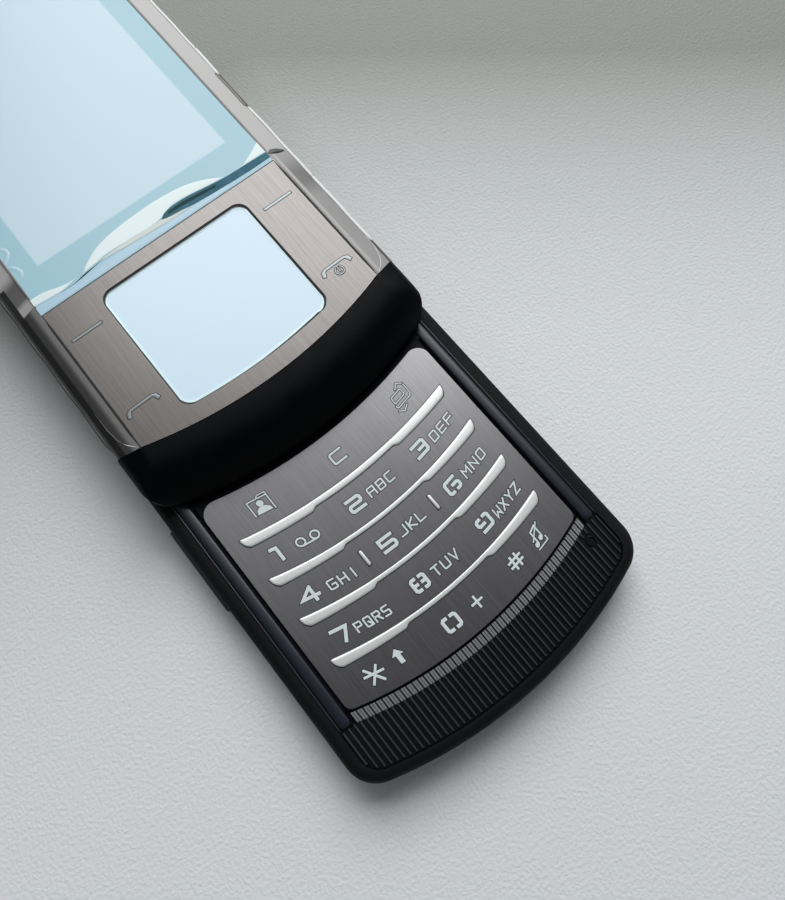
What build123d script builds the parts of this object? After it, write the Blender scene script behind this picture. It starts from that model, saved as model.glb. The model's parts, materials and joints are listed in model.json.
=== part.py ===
from build123d import *
import os
from math import copysign, sqrt

# A slider phone lying on its back, opened. All sizes are in millimetres.
# X runs across the phone, Y from its bottom end towards the earpiece, Z up from the table.
# The lower half is drawn with its bottom end at Y = 0. The upper half is drawn closed, over
# the lower half, and is then moved up by the slide's travel. The finished part is moved so
# that its origin is the middle of the underside of its bounding box.

# Overall sizes
body_width = 50.7
closed_thickness = 12.9
slide_travel = 46.5
end_radius = 69.3            # the curve of both ends, seen from the front
corner_radius = 5.0

# Lower half, outside
lower_thickness = 6.9
rim_width = 2.1              # soft rim beside the front frame
rim_end_width = 1.8          # soft rim below the front frame
rim_round = 1.6
back_round = 2.6
back_wall = 1.2
seam = 0.05                  # gap between pieces that are fixed to each other
past = 1.0                   # how far a cut runs on past the surface that it opens

# Keypad
rail_width = 2.5             # glossy rail each side of the keys
rail_chamfer = 0.5
rail_groove_width = 0.3
rail_groove_depth = 0.15
rail_groove_inset = 0.5
plate_gap = 0.1
plate_foot_gap = 0.4         # between the keypad and the bright trim
grip_height = 6.75
grip_thickness = 0.2
grip_step = 0.1              # the ribs' tips lie this far below the rails
rib_pitch = 0.88
rib_width = 0.42
rib_height = 0.3
trim_height = 1.55
key_gap = 0.05
key_thickness = 0.55
key_travel = 0.25
press_margin = 0.05          # left between moving and fixed pieces at full press
column_edge = 6.3            # the centre column of keys ends here
row_pitch = 6.95
bottom_row_height = 7.25
top_row_height = 7.3
plate_top_radius = 72.0
plate_bottom_radius = 66.0
plate_top_corner = 2.0
plate_bottom_corner = 1.3
nub_radius = 1.5
nub_clearance = 0.3

# Bright bars between the rows
bar_end_margin = 2.05        # from a bar's end to the keypad's side
bar_top_radius = 66.0
bar_foot_radius = 85.0
bar_thin = 0.72
bar_thick = 1.1
bar_step_inner = 7.0
bar_step_outer = 8.0
bar_end_slant = 0.3
bar_rise = 0.3
short_bar_length = 2.6
short_bar_width = 0.5
short_bar_drop = 2.25        # from the long bar above the 5 key to the short bars beside it

# Board and battery
carrier_thickness = 0.45
carrier_lap = 0.8
dome_radius = 2.0
dome_height = 0.25
dome_sheet_thickness = 0.1
dome_sheet_margin = 1.0
board_thickness = 0.8
board_gap = 0.4
bay_wall = 0.6
bay_roof = 0.4
battery_width = 34.6
battery_length = 46.0
battery_clearance = 0.2
battery_corner = 0.8
bay_start = 19.55
sim_width = 25.0
sim_length = 13.0
sim_thickness = 1.4
sim_wall = 0.3
sim_side = 1.0

# Battery cover
cover_side = 4.85            # from the case's side to the cover's
cover_end_margin = 19.9      # from the case's top end to the cover's
cover_thickness = 0.85
cover_slant = 0.4
cover_clearance = 0.06
cover_travel = 4.0
cover_dip_radius = 24.0
cover_dip_depth = 0.35
cover_dip_width = 9.0
cover_dip_inset = 9.0

# Back camera, flash and loudspeaker
camera_x = -9.0
camera_end_margin = 10.9
camera_size = 8.6
camera_barrel_radius = 3.1
bezel_radius = 5.2
bezel_depth = 0.95
bezel_chamfer = 0.3
window_radius = 3.6
window_thickness = 0.75
flash_speaker_gap = 1.9
flash_radius = 1.6
lamp_width = 2.5
speaker_side = 13.25          # from the front frame's side to the loudspeaker's middle
speaker_length = 12.0
speaker_width = 7.0
speaker_thickness = 2.4
speaker_corner = 2.3
speaker_slots = 4
speaker_slot_length = 8.0
speaker_slot_width = 0.7

# Pieces inside the bottom end of the lower half
motor_radius = 1.3
motor_length = 9.0
motor_shaft_radius = 0.4
motor_weight_radius = 1.15
motor_weight_length = 3.0
motor_x = 11.0
motor_y = 12.05
antenna_gap = 0.3            # between the antenna and the screw posts
antenna_depth = 3.4
antenna_height = 2.4
antenna_y = 6.55
mic_side = 3.35              # from the front frame's side
mic_y = 9.75
mic_radius = 1.3
mic_height = 0.9
mic_hole_radius = 0.45

# Screws
screw_radius = 0.7
screw_clearance = 0.05
screw_head_radius = 1.2
screw_head_height = 0.7
screw_slot_width = 0.4
screw_slot_length = 1.7
boss_wall = 1.0
upper_screw_side = 4.75      # from the front frame's side
upper_screw_end_margin = 7.9
lower_screw_side = 5.75
lower_screw_y = 7.05

# Side keys and socket cover
side_key_height = 2.2
side_key_z = 4.1
side_key_proud = 0.45
side_key_depth = 1.5
side_key_clearance = 0.12
side_key_round = 0.35
rocker_length = 14.3
rocker_y = 41.75
rocker_pin_radius = 0.4
rocker_pin_length = 0.6
pin_clearance = 0.05
camera_key_length = 8.0
camera_key_y = 65.55
flap_length = 9.6
flap_y = 75.55
flap_thickness = 1.1
flap_barrel_radius = 0.5
socket_length = 6.6
socket_depth = 3.4
socket_height = 1.6
socket_wall = 0.35
socket_back = 1.0

# Slide
split_gap = 0.55             # between the lower half's front and the upper half's underside
carriage_end_margin = 6.7    # from the lower half's top end
guide_chin_gap = 0.95        # from the chin to the guide's lower stop
carriage_sheet = 0.45
rail_sheet = 0.4
rail_play = 0.05
rail_side_play = 0.1
rail_lip = 1.7
flange_width = 2.2
web_width = 0.6
guide_side = 3.75            # from the upper half's side to the guide's
guide_stop = 0.9
rivet_radius = 0.7
carriage_rivet_inset = 5.4   # from the carriage's raised edge
guide_rivet_x = 7.0
window_half_width = 5.5
window_length = 8.0
lower_window_start = 14.8    # from the carriage's lower end
upper_window_end = 38.15     # from the guide's upper stop to the window's far end
spring_wire = 0.5
spring_bow = 1.5             # the springs bow out this far past their pins
ribbon_width = 9.0
ribbon_thickness = 0.14

# Upper half
upper_inset = 0.4            # each side, compared with the lower half
end_setback = 0.25
upper_round = 0.6
band_width = 3.9             # metal band beside the display
band_drop = 1.5
band_round = 1.6
shell_height = 2.15
shell_floor = 0.5
glass_thickness = 1.0
glass_corner = 3.0
top_band = 4.2
chin_height = 8.9
chin_radius = 72.0
chin_lip = 0.95
chin_slope = 9.9           # the front starts to fall this far from the end
chin_out = 0.71              # a point on that curve, as shares of its length and of its height
chin_up = 0.75
nav_height = 28.8
nav_thickness = 0.5
nav_step = 0.1               # nav plate below the glass
pad_width = 25.9
pad_height = 23.45
pad_top_margin = 2.45
pad_corner = 2.0
pad_foot_radius = 82.0       # its lower edge is an arc, like the chin's
pad_recess = 0.15
pad_lens_thickness = 0.35
nav_frame = 0.8              # plate beside the touch pad
nav_split = 13.2             # soft key's height, from the display's edge
nav_travel = 0.2
nav_post_radius = 1.2
upper_board_thickness = 0.5
display_side = 2.05          # from the glass's side to the display's
display_length = 51.0
display_start = 5.15
display_end_gap = 0.6        # between the display and the earpiece
earpiece_width = 12.0
earpiece_length = 5.0
earpiece_corner = 1.6
earpiece_slot_length = 9.0
earpiece_slot_width = 1.1
earpiece_drop = 3.8

# ---------------------------------------------------------------- worked-out sizes

def sagitta(half, radius):
    """How far an arc's ends lie from its middle, for half a chord; negative for a negative radius."""
    return copysign(abs(radius) - sqrt(radius * radius - half * half), radius)


body_length = (2 * end_setback + chin_height + nav_height + display_start + display_length
               + display_end_gap + earpiece_length / 2 + earpiece_drop + top_band)
half_width = body_width / 2
frame_half = half_width - rim_width
frame_low = rim_end_width
frame_high = body_length - rim_end_width
frame_corner = corner_radius - rim_end_width
aperture_half = frame_half - seam - rail_width
plate_half = aperture_half - plate_gap
bar_half_length = plate_half - bar_end_margin
trim_low = frame_low + grip_height
plate_low = trim_low + trim_height + plate_foot_gap
bar_tops = [plate_low + bottom_row_height + n * row_pitch for n in (3, 2, 1, 0)]
plate_high = bar_tops[0] + top_row_height

key_top = lower_thickness
key_bottom = key_top - key_thickness
carrier_top = key_bottom - key_travel - press_margin
carrier_bottom = carrier_top - carrier_thickness
nub_bottom = carrier_bottom - press_margin
dome_top = nub_bottom - key_travel - press_margin
dome_sheet_top = dome_top - dome_height
board_top = dome_sheet_top - dome_sheet_thickness
board_bottom = board_top - board_thickness
bay_top = board_bottom - bay_roof
grip_base = key_top - grip_step - rib_height - grip_thickness
bay_half = battery_width / 2 + battery_clearance
cover_half = half_width - cover_side
cover_end = body_length - cover_end_margin
camera_y = body_length - camera_end_margin
mic_x = frame_half - mic_side
upper_screw_x = frame_half - upper_screw_side
upper_screw_y = body_length - upper_screw_end_margin
lower_screw_x = frame_half - lower_screw_side
bay_end = bay_start + battery_length + sim_length + 3 * battery_clearance

upper_bottom = lower_thickness + split_gap
upper_half_width = half_width - upper_inset
upper_low = end_setback
upper_high = body_length - end_setback
upper_corner = corner_radius - end_setback
opening_half = upper_half_width - band_width
glass_top = closed_thickness
glass_bottom = glass_top - glass_thickness
nav_top = glass_top - nav_step
nav_bottom = nav_top - nav_thickness
frame_top = nav_top - nav_step
shell_top = upper_bottom + shell_height
chin_top = upper_low + chin_height
display_low = chin_top + nav_height
glass_high = upper_high - top_band
pad_high = display_low - pad_top_margin
pad_low = pad_high - pad_height
nav_inner = pad_width / 2 + nav_frame

lip_bottom = upper_bottom + seam
lip_top = lip_bottom + rail_sheet
flange_bottom = lip_top + rail_play
flange_top = flange_bottom + rail_sheet
sheet_bottom = flange_top + rail_play
sheet_top = sheet_bottom + rail_sheet
floor_bottom = sheet_top + seam
floor_top = floor_bottom + shell_floor
board_low_z = floor_top + seam
board_high_z = board_low_z + upper_board_thickness
guide_half_width = upper_half_width - guide_side
channel_half = guide_half_width - rail_sheet
flange_half = channel_half - rail_side_play
web_outer = flange_half - flange_width
web_inner = web_outer - web_width
carriage_rivet_x = web_inner - carriage_rivet_inset
guide_start = chin_top + sagitta(guide_half_width, chin_radius) + guide_chin_gap + guide_stop
carriage_end = body_length - carriage_end_margin
carriage_start = guide_start + slide_travel + rail_play
lower_window_y = carriage_start + lower_window_start
guide_end = carriage_end + rail_play
upper_window_y = guide_end + guide_stop - upper_window_end - window_length

open_high = upper_high + slide_travel
origin_y = open_high / 2
side_key_low = side_key_z - side_key_height / 2
side_key_high = side_key_z + side_key_height / 2


# ---------------------------------------------------------------- shapes used many times

def block(x, y, z):
    """A box from three (low, high) pairs."""
    size = [pair[1] - pair[0] for pair in (x, y, z)]
    middle = [(pair[1] + pair[0]) / 2 for pair in (x, y, z)]
    return Pos(*middle) * Box(*size)


def rod(x, y, radius, low, high):
    """An upright cylinder."""
    return Pos(x, y, (low + high) / 2) * Cylinder(radius, high - low)


def prism(face, low, high):
    """A flat shape made solid between two heights."""
    return Pos(0, 0, low) * extrude(face, amount=high - low, dir=(0, 0, 1))


def slab(half, low, high, low_radius=end_radius, high_radius=end_radius):
    """A face with straight sides, whose ends are arcs; a negative high radius bends inwards."""
    low_side = low + sagitta(half, low_radius)
    high_side = high - sagitta(half, high_radius)
    return make_face([
        ThreePointArc((-half, low_side), (0, low), (half, low_side)),
        Line((half, low_side), (half, high_side)),
        ThreePointArc((half, high_side), (0, high), (-half, high_side)),
        Line((-half, high_side), (-half, low_side)),
    ])


def rounded(face, low_corner, high_corner):
    """The same face with its lower and its upper corners rounded."""
    corners = face.vertices().sort_by(Axis.Y)
    face = fillet(corners[:2], low_corner)
    return fillet(face.vertices().sort_by(Axis.Y)[-2:], high_corner)


def group(solids):
    """Several separate solids as one piece, such as a set of screws."""
    return Compound(list(solids))


def above(y, radius):
    """The disc above an arc that bends down to y at the middle of the phone."""
    return Pos(0, y + radius) * Circle(radius)


def rectangle(x, y):
    """A flat rectangle from two (low, high) pairs."""
    size = [pair[1] - pair[0] for pair in (x, y)]
    return Pos((x[0] + x[1]) / 2, (y[0] + y[1]) / 2) * Rectangle(*size)


def frame_face(inset=0.0):
    """The outline of what lies inside the soft rim."""
    face = slab(frame_half - inset, frame_low + inset, frame_high - inset)
    return rounded(face, frame_corner - inset, frame_corner - inset)


def plate_face(grow=0.0):
    """The outline of the whole keypad; grow widens it on every side."""
    face = slab(plate_half + grow, plate_low - grow, plate_high + grow,
                plate_bottom_radius, -plate_top_radius)
    return rounded(face, plate_bottom_corner + grow, plate_top_corner + grow)


def bar_face(y, grow=0.0):
    """A bright bar between two rows of keys: thick at both ends and thin in the middle."""
    def top_at(x):
        return y + grow + sagitta(x, bar_top_radius)

    def foot_at(x):
        return y - bar_thick - grow + sagitta(x, bar_foot_radius)

    def thin_at(x):
        return y - bar_thin - grow + sagitta(x, bar_top_radius)

    end = bar_half_length + grow
    foot = end - bar_end_slant
    outer = bar_step_outer - grow
    inner = bar_step_inner - grow
    middle = (foot + outer) / 2
    half = [
        Line((end, top_at(end)), (foot, foot_at(foot))),
        ThreePointArc((foot, foot_at(foot)), (middle, foot_at(middle)), (outer, foot_at(outer))),
        Line((outer, foot_at(outer)), (inner, thin_at(inner))),
    ]
    edges = half + [edge.mirror(Plane.YZ) for edge in half] + [
        ThreePointArc((-end, top_at(end)), (0, y + grow), (end, top_at(end))),
        ThreePointArc((inner, thin_at(inner)), (0, y - bar_thin - grow), (-inner, thin_at(inner))),
    ]
    return make_face(edges)


def short_bar_faces(grow=0.0):
    """The two short bars beside the 5 key."""
    high = bar_tops[1] - short_bar_drop + grow
    low = high - short_bar_length - 2 * grow
    wide = short_bar_width / 2 + grow
    return [rectangle((side * column_edge - wide, side * column_edge + wide), (low, high))
            for side in (-1, 1)]


def lower_form():
    """The lower half's outer shape."""
    face = slab(half_width, 0, body_length)
    form = prism(rounded(face, corner_radius, corner_radius), 0, lower_thickness)
    form = fillet(form.edges().group_by(Axis.Z)[0], back_round)
    return fillet(form.edges().group_by(Axis.Z)[-1], rim_round)


def upper_form():
    """The upper half's outer shape, with its sloping metal band."""
    face = slab(upper_half_width, upper_low, upper_high)
    form = prism(rounded(face, upper_corner, upper_corner), upper_bottom, frame_top)
    top = form.faces().sort_by(Axis.Z)[-1]
    form = chamfer(top.edges(), band_width - seam, band_drop, reference=top)
    wall_top = [edge for edge in form.edges()
                if abs(edge.center().Z - (frame_top - band_drop)) < seam]
    form = fillet(wall_top, band_round)
    return fillet(form.edges().group_by(Axis.Z)[0], upper_round)


def chin_line(gap=0.0):
    """The disc that divides the upper half (inside) from its chin (outside)."""
    return prism(above(chin_top + gap, chin_radius), upper_bottom, glass_top + seam)


def screw_places():
    """Where the four case screws go, each with the height at which its head starts."""
    places = [(side * upper_screw_x, upper_screw_y, 0.0) for side in (-1, 1)]
    start = cover_thickness + 2 * cover_clearance
    return places + [(side * lower_screw_x, lower_screw_y, start) for side in (-1, 1)]


# ---------------------------------------------------------------- keys

COLUMNS = ("left", "middle", "right")
ROWS = (
    ("key_contacts", "key_clear", "key_tasks"),
    ("key_1", "key_2", "key_3"),
    ("key_4", "key_5", "key_6"),
    ("key_7", "key_8", "key_9"),
    ("key_star", "key_0", "key_hash"),
)


def column_span(column):
    """The X span of a column of keys."""
    inner = column_edge - key_gap / 2
    outer = column_edge + key_gap / 2
    reach = plate_half + past
    return {"left": (-reach, -outer), "middle": (-inner, inner), "right": (outer, reach)}[column]


def key_centre(row, column):
    """The middle of a key, where its nub presses the dome."""
    middle = (column_edge + plate_half) / 2
    x = {"left": -middle, "middle": 0.0, "right": middle}[column]
    if row == 0:
        high = plate_high + sagitta(x, plate_top_radius)
    else:
        high = bar_tops[row - 1] + sagitta(x, bar_top_radius) - bar_thick
    if row == len(bar_tops):
        low = plate_low + sagitta(x, plate_bottom_radius)
    else:
        low = bar_tops[row] + sagitta(x, bar_top_radius)
    return x, (low + high) / 2


def key_centres():
    """Every key's middle, in the order of the rows."""
    return [key_centre(row, column) for row in range(len(ROWS)) for column in COLUMNS]


def key_solid(row, column):
    """One key: its piece of the metal face and the nub below it."""
    face = plate_face() & rectangle(column_span(column), (0, body_length))
    if row > 0:
        face -= above(bar_tops[row - 1], bar_top_radius)
        face -= bar_face(bar_tops[row - 1], key_gap)
    if row < len(bar_tops):
        face &= above(bar_tops[row] + key_gap, bar_top_radius)
    if row == 2:
        for bar in short_bar_faces(key_gap):
            face -= bar
    x, y = key_centre(row, column)
    return prism(face, key_bottom, key_top) + rod(x, y, nub_radius, nub_bottom, key_bottom)


def key_bars():
    """The bright bars, standing on the carrier in the slots between the keys."""
    faces = [bar_face(y) for y in bar_tops] + short_bar_faces()
    return group(prism(face, carrier_top, key_top + bar_rise) for face in faces)


def keypad_carrier():
    """The stiff sheet under the keys, with a hole for each nub."""
    carrier = prism(plate_face(plate_gap + carrier_lap), carrier_bottom, carrier_top)
    for x, y in key_centres():
        carrier -= rod(x, y, nub_radius + nub_clearance, carrier_bottom, carrier_top)
    return carrier


def dome(x, y, base):
    """A snap dome that stands on a height."""
    ball = (dome_radius ** 2 + dome_height ** 2) / (2 * dome_height)
    cap = Pos(x, y, base + dome_height - ball) * Sphere(ball)
    return cap & rod(x, y, dome_radius, base, base + dome_height)


def dome_sheet():
    """The sheet of snap domes on the board."""
    sheet = prism(plate_face(), board_top, dome_sheet_top)
    for x, y in key_centres():
        sheet += dome(x, y, dome_sheet_top)
    return sheet


# ---------------------------------------------------------------- lower half

def cover_shape(grow=0.0):
    """The battery cover's section along Y: its edges slope, so that the case holds it."""
    foot = cover_half + grow
    head = foot + cover_slant
    high = cover_thickness + grow
    face = make_face(Polyline((-foot, -grow), (foot, -grow), (head, high), (-head, high), close=True))
    reach = cover_end + cover_travel
    start = cover_end + grow
    return Pos(0, start, 0) * extrude(Plane.XZ * face, amount=reach)


def battery_cover(form):
    """The sliding back cover, with a thumb dip near its end."""
    cover = form & cover_shape()
    place = Pos(0, cover_end - cover_dip_inset, cover_dip_depth - cover_dip_radius)
    return cover - place * Rot(0, 90, 0) * Cylinder(cover_dip_radius, cover_dip_width)


def battery_bay(wall=0.0):
    """The battery's space in the back, or the tray round it."""
    x = bay_half + wall
    high = bay_top if wall == 0 else bay_top + bay_roof
    low = -past if wall == 0 else back_wall / 2
    return block((-x, x), (bay_start - wall, bay_end + wall), (low, high))


def side_key_slot(side, y, length):
    """The opening in the case wall for a side key."""
    reach = (length / 2 + side_key_clearance, side_key_clearance)
    x = sorted((side * (frame_half - seam), side * (half_width + past)))
    return block(x, (y - reach[0], y + reach[0]),
                 (side_key_low - reach[1], side_key_high + reach[1]))


def rocker_pin(radius):
    """The volume rocker's pin, or the bore that it turns in."""
    x = -(half_width - side_key_depth / 2)
    grow = rocker_pin_length if radius == rocker_pin_radius else rocker_pin_length + pin_clearance
    return rod(x, rocker_y, radius, side_key_low - grow, side_key_high + grow)


def flap_axis():
    """Where the socket cover turns."""
    return half_width - flap_thickness / 2, flap_y + flap_length - flap_barrel_radius


def flap_recess():
    """The socket cover's recess in the case, with room for its barrel to turn."""
    x, y = flap_axis()
    low = side_key_low - side_key_clearance
    high = side_key_high + side_key_clearance
    recess = block((half_width - flap_thickness - side_key_clearance, half_width + past),
                   (flap_y - side_key_clearance, y), (low, high))
    swing = sqrt(2) * flap_thickness / 2 + side_key_clearance
    recess += rod(x, y, swing, low, high)
    return recess + socket_block(seam)


def socket_block(grow=0.0):
    """The space that the charging and data socket takes up, behind its cover."""
    middle = flap_y + (flap_length - flap_barrel_radius) / 2
    face = half_width - flap_thickness - 2 * side_key_clearance
    length = socket_length / 2 + grow
    height = socket_height / 2 + grow
    return block((face - socket_depth - grow, face + grow), (middle - length, middle + length),
                 (side_key_z - height, side_key_z + height))


def speaker_place():
    """The loudspeaker's middle."""
    return frame_half - speaker_side, camera_y


def flash_x():
    """The flash's middle, between the loudspeaker and the camera."""
    return speaker_place()[0] - speaker_length / 2 - flash_speaker_gap - flash_radius


def rear_case(form):
    """The lower shell: soft outside, a battery tray and screw posts inside."""
    case = form - prism(frame_face(), back_wall, lower_thickness + past)
    case += battery_bay(bay_wall)
    for x, y, head in screw_places():
        case += rod(x, y, screw_head_radius + boss_wall, back_wall / 2, board_bottom)
    case -= battery_bay()
    case -= cover_shape(cover_clearance)
    for x, y, head in screw_places():
        case -= rod(x, y, screw_head_radius + screw_clearance, head - past, head + screw_head_height)
        case -= rod(x, y, screw_radius + screw_clearance, 0, board_bottom + past)
    case -= rod(camera_x, camera_y, bezel_radius + seam, -past, bezel_depth + seam)
    case -= rod(camera_x, camera_y, window_radius + seam, 0, back_wall + past)
    case -= rod(flash_x(), camera_y, flash_radius + seam, -past, back_wall + past)
    speaker_x, speaker_y = speaker_place()
    for n in range(speaker_slots):
        y = speaker_y + (n - (speaker_slots - 1) / 2) * 2 * speaker_slot_width
        reach = speaker_slot_length / 2
        case -= block((speaker_x - reach, speaker_x + reach),
                      (y - speaker_slot_width / 2, y + speaker_slot_width / 2),
                      (-past, back_wall + past))
    case -= side_key_slot(-1, rocker_y, rocker_length)
    case -= rocker_pin(rocker_pin_radius + pin_clearance)
    case -= side_key_slot(1, camera_key_y, camera_key_length)
    return case - flap_recess()


def front_frame():
    """The glossy front of the lower half: rails, a seat for the ribbed grip and the slide's bed."""
    face = frame_face(seam)
    frame = prism(face, carrier_top, key_top)
    skirt = prism(face, board_top + seam, carrier_top) - prism(
        plate_face(plate_gap + carrier_lap + seam), board_top, carrier_top)
    skirt -= prism(frame_face(seam + boss_wall), board_top, carrier_top)
    frame += skirt
    frame -= prism(plate_face(plate_gap), carrier_top - past, key_top + past)
    frame -= prism(frame_face(seam) - above(trim_low, plate_bottom_radius), grip_base, key_top + past)
    frame -= prism(trim_face(seam, 0.0), grip_base, key_top + past)
    for side in (-1, 1):
        edge = side * aperture_half
        run = (trim_low + corner_radius, plate_high + sagitta(plate_half, plate_top_radius))
        lip = key_top + seam
        slope = make_face(Polyline((edge, lip), (edge + side * (rail_chamfer + seam), lip),
                                   (edge, key_top - rail_chamfer), close=True))
        frame -= Pos(0, run[1], 0) * extrude(Plane.XZ * slope, amount=run[1] - run[0])
        groove = side * (frame_half - rail_groove_inset)
        x = sorted((groove, groove - side * rail_groove_width))
        frame -= block(x, (run[0], plate_high + corner_radius),
                       (key_top - rail_groove_depth, key_top + past))
    for x, y, head in screw_places():
        frame += rod(x, y, screw_radius + boss_wall, board_top + seam, carrier_top) - prism(
            plate_face(plate_gap + carrier_lap + seam), board_top, carrier_top)
    for x, y, head in screw_places():
        frame -= rod(x, y, screw_radius + screw_clearance, board_top, key_top - seam)
    frame -= ribbon_window(lower_window_y, carrier_top - past, key_top + past)
    return frame - rod(mic_x, mic_y, mic_hole_radius, board_top, key_top + past)


def grip_outline():
    """The ribbed grip's outline: the frame below the arc of the bright trim."""
    return frame_face(2 * seam) - above(trim_low - seam, plate_bottom_radius)


def ribbed_grip():
    """The black ribbed end of the lower half, with the microphone's hole."""
    outline = grip_outline()
    grip = prism(outline, grip_base, grip_base + grip_thickness)
    count = int(frame_half / rib_pitch)
    ribs = prism(outline, grip_base + grip_thickness, grip_base + grip_thickness + rib_height)
    gap = rib_pitch - rib_width
    for n in range(-count, count):
        x = (n + 0.5) * rib_pitch
        ribs -= block((x - gap / 2, x + gap / 2), (0, plate_high), (grip_base + grip_thickness, key_top))
    return grip + ribs - rod(mic_x, mic_y, mic_hole_radius, 0, key_top)


def trim_face(grow=0.0, foot_gap=plate_foot_gap):
    """The outline of the bright trim, between the grip and the keypad."""
    face = above(trim_low - grow, plate_bottom_radius)
    face -= above(plate_low - foot_gap, plate_bottom_radius)
    half = plate_half + rail_chamfer + grow
    return face & rectangle((-half, half), (0, plate_high))


def ribbed_trim():
    """The bright strip that follows the keypad's lower edge."""
    return prism(trim_face(), grip_base, grip_base + grip_thickness + rib_height)


def main_board():
    """The lower half's circuit board."""
    board = prism(frame_face(board_gap), board_bottom, board_top) - socket_block(seam)
    for x, y, head in screw_places():
        board -= rod(x, y, screw_radius + 2 * screw_clearance, 0, key_top)
    reach = camera_size / 2 + board_gap
    return board - block((camera_x - reach, camera_x + reach), (camera_y - reach, camera_y + reach),
                         (0, key_top))


def battery_pack():
    """The battery, with its contact end towards the earpiece."""
    low = bay_start + battery_clearance
    pack = block((-battery_width / 2, battery_width / 2), (low, low + battery_length),
                 (cover_thickness + 2 * cover_clearance, bay_top - seam))
    return fillet(pack.edges().filter_by(Axis.Z), battery_corner)


def sim_holder():
    """The card holder beside the battery, fixed to the roof of the bay."""
    low = bay_start + 2 * battery_clearance + battery_length
    holder = block((-sim_width / 2, sim_width / 2), (low, low + sim_length),
                   (bay_top - seam - sim_thickness, bay_top - seam))
    slot = block((-sim_width / 2 + sim_side, sim_width / 2 - sim_side),
                 (low - past, low + sim_length - sim_side),
                 (bay_top - seam - sim_thickness + sim_wall, bay_top - seam - sim_wall))
    return holder - slot


def camera_module():
    """The back camera: a square body with a round barrel towards the window."""
    reach = camera_size / 2
    top = carrier_top - seam
    body = block((camera_x - reach, camera_x + reach), (camera_y - reach, camera_y + reach),
                 (back_wall + 2 * seam, top))
    return body + rod(camera_x, camera_y, camera_barrel_radius, bezel_depth + seam, back_wall + past)


def camera_bezel():
    """The metal ring round the camera's window."""
    ring = rod(camera_x, camera_y, bezel_radius, 0, bezel_depth)
    ring = chamfer(ring.edges().group_by(Axis.Z)[0], bezel_chamfer)
    return ring - rod(camera_x, camera_y, window_radius + seam, -past, bezel_depth + past)


def camera_window():
    """The clear disc in the bezel."""
    return rod(camera_x, camera_y, window_radius, bezel_depth - window_thickness, bezel_depth)


def flash_lens():
    """The flash: a clear plug in the case, with its lamp standing under the board."""
    x = flash_x()
    plug = rod(x, camera_y, flash_radius, 2 * seam, back_wall + seam)
    lamp = lamp_width / 2
    return plug + block((x - lamp, x + lamp), (camera_y - lamp, camera_y + lamp),
                        (back_wall, board_bottom - seam))


def loudspeaker():
    """The loudspeaker behind the slots in the back."""
    x, y = speaker_place()
    body = block((x - speaker_length / 2, x + speaker_length / 2),
                 (y - speaker_width / 2, y + speaker_width / 2),
                 (back_wall + seam, back_wall + seam + speaker_thickness))
    return fillet(body.edges().filter_by(Axis.Z), speaker_corner)


def vibration_motor():
    """The vibration motor, lying on the back wall with its weight beside it."""
    z = back_wall + seam + motor_radius
    end = motor_x - motor_length / 2
    can = Pos(motor_x, motor_y, z) * Rot(0, 90, 0) * Cylinder(motor_radius, motor_length)
    shaft = Pos(end, motor_y, z) * Rot(0, 90, 0) * Cylinder(motor_shaft_radius, motor_weight_length)
    weight = Pos(end - motor_weight_length, motor_y, z) * Rot(0, 90, 0)
    return can + shaft + weight * Cylinder(motor_weight_radius, motor_weight_length)


def antenna():
    """The antenna on its carrier across the bottom end."""
    half = lower_screw_x - screw_head_radius - boss_wall - antenna_gap
    return block((-half, half),
                 (antenna_y - antenna_depth / 2, antenna_y + antenna_depth / 2),
                 (back_wall + seam, back_wall + seam + antenna_height))


def bottom_microphone():
    """The microphone below its hole in the grip."""
    return rod(mic_x, mic_y, mic_radius, board_top + seam, board_top + seam + mic_height)


def case_screws():
    """The four screws that hold the case to the front frame."""
    screws = []
    for x, y, head in screw_places():
        screw = rod(x, y, screw_head_radius, head + seam, head + screw_head_height - seam)
        screw += rod(x, y, screw_radius, head + screw_head_height / 2, key_top - 2 * seam - screw_radius)
        half = (screw_slot_length / 2, screw_slot_width / 2)
        for wide, tall in (half, half[::-1]):
            screw -= block((x - wide, x + wide), (y - tall, y + tall), (head, head + screw_head_height / 2))
        screws.append(screw)
    return group(screws)


def system_connector():
    """The charging and data socket behind the side cover."""
    return socket_block() - Pos(socket_back, 0, 0) * socket_block(-socket_wall)


# ---------------------------------------------------------------- side keys and socket cover

def side_bar(side, y, length):
    """A side key's bar, with its outer edges rounded."""
    x = sorted((side * (half_width - side_key_depth), side * (half_width + side_key_proud)))
    bar = block(x, (y - length / 2, y + length / 2), (side_key_low, side_key_high))
    outer = bar.faces().sort_by(Axis.X)[-1 if side > 0 else 0]
    return fillet(outer.edges(), side_key_round)


def volume_rocker():
    """The volume rocker on the left side, turning on its pin."""
    return side_bar(-1, rocker_y, rocker_length) + rocker_pin(rocker_pin_radius)


def camera_key():
    """The camera key on the right side."""
    return side_bar(1, camera_key_y, camera_key_length)


def port_cover(form):
    """The socket's hinged cover, flush with the case."""
    x, y = flap_axis()
    flap = form & block((half_width - flap_thickness, half_width + past), (flap_y, y),
                        (side_key_low, side_key_high))
    flap += rod(x, y, flap_barrel_radius, side_key_low, side_key_high)
    return flap


# ---------------------------------------------------------------- slide

def ribbon_window(y, low, high, grow=0.0):
    """The opening that the ribbon cable passes through."""
    reach = window_half_width + grow
    return block((-reach, reach), (y - grow, y + window_length + grow), (low, high))


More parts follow.
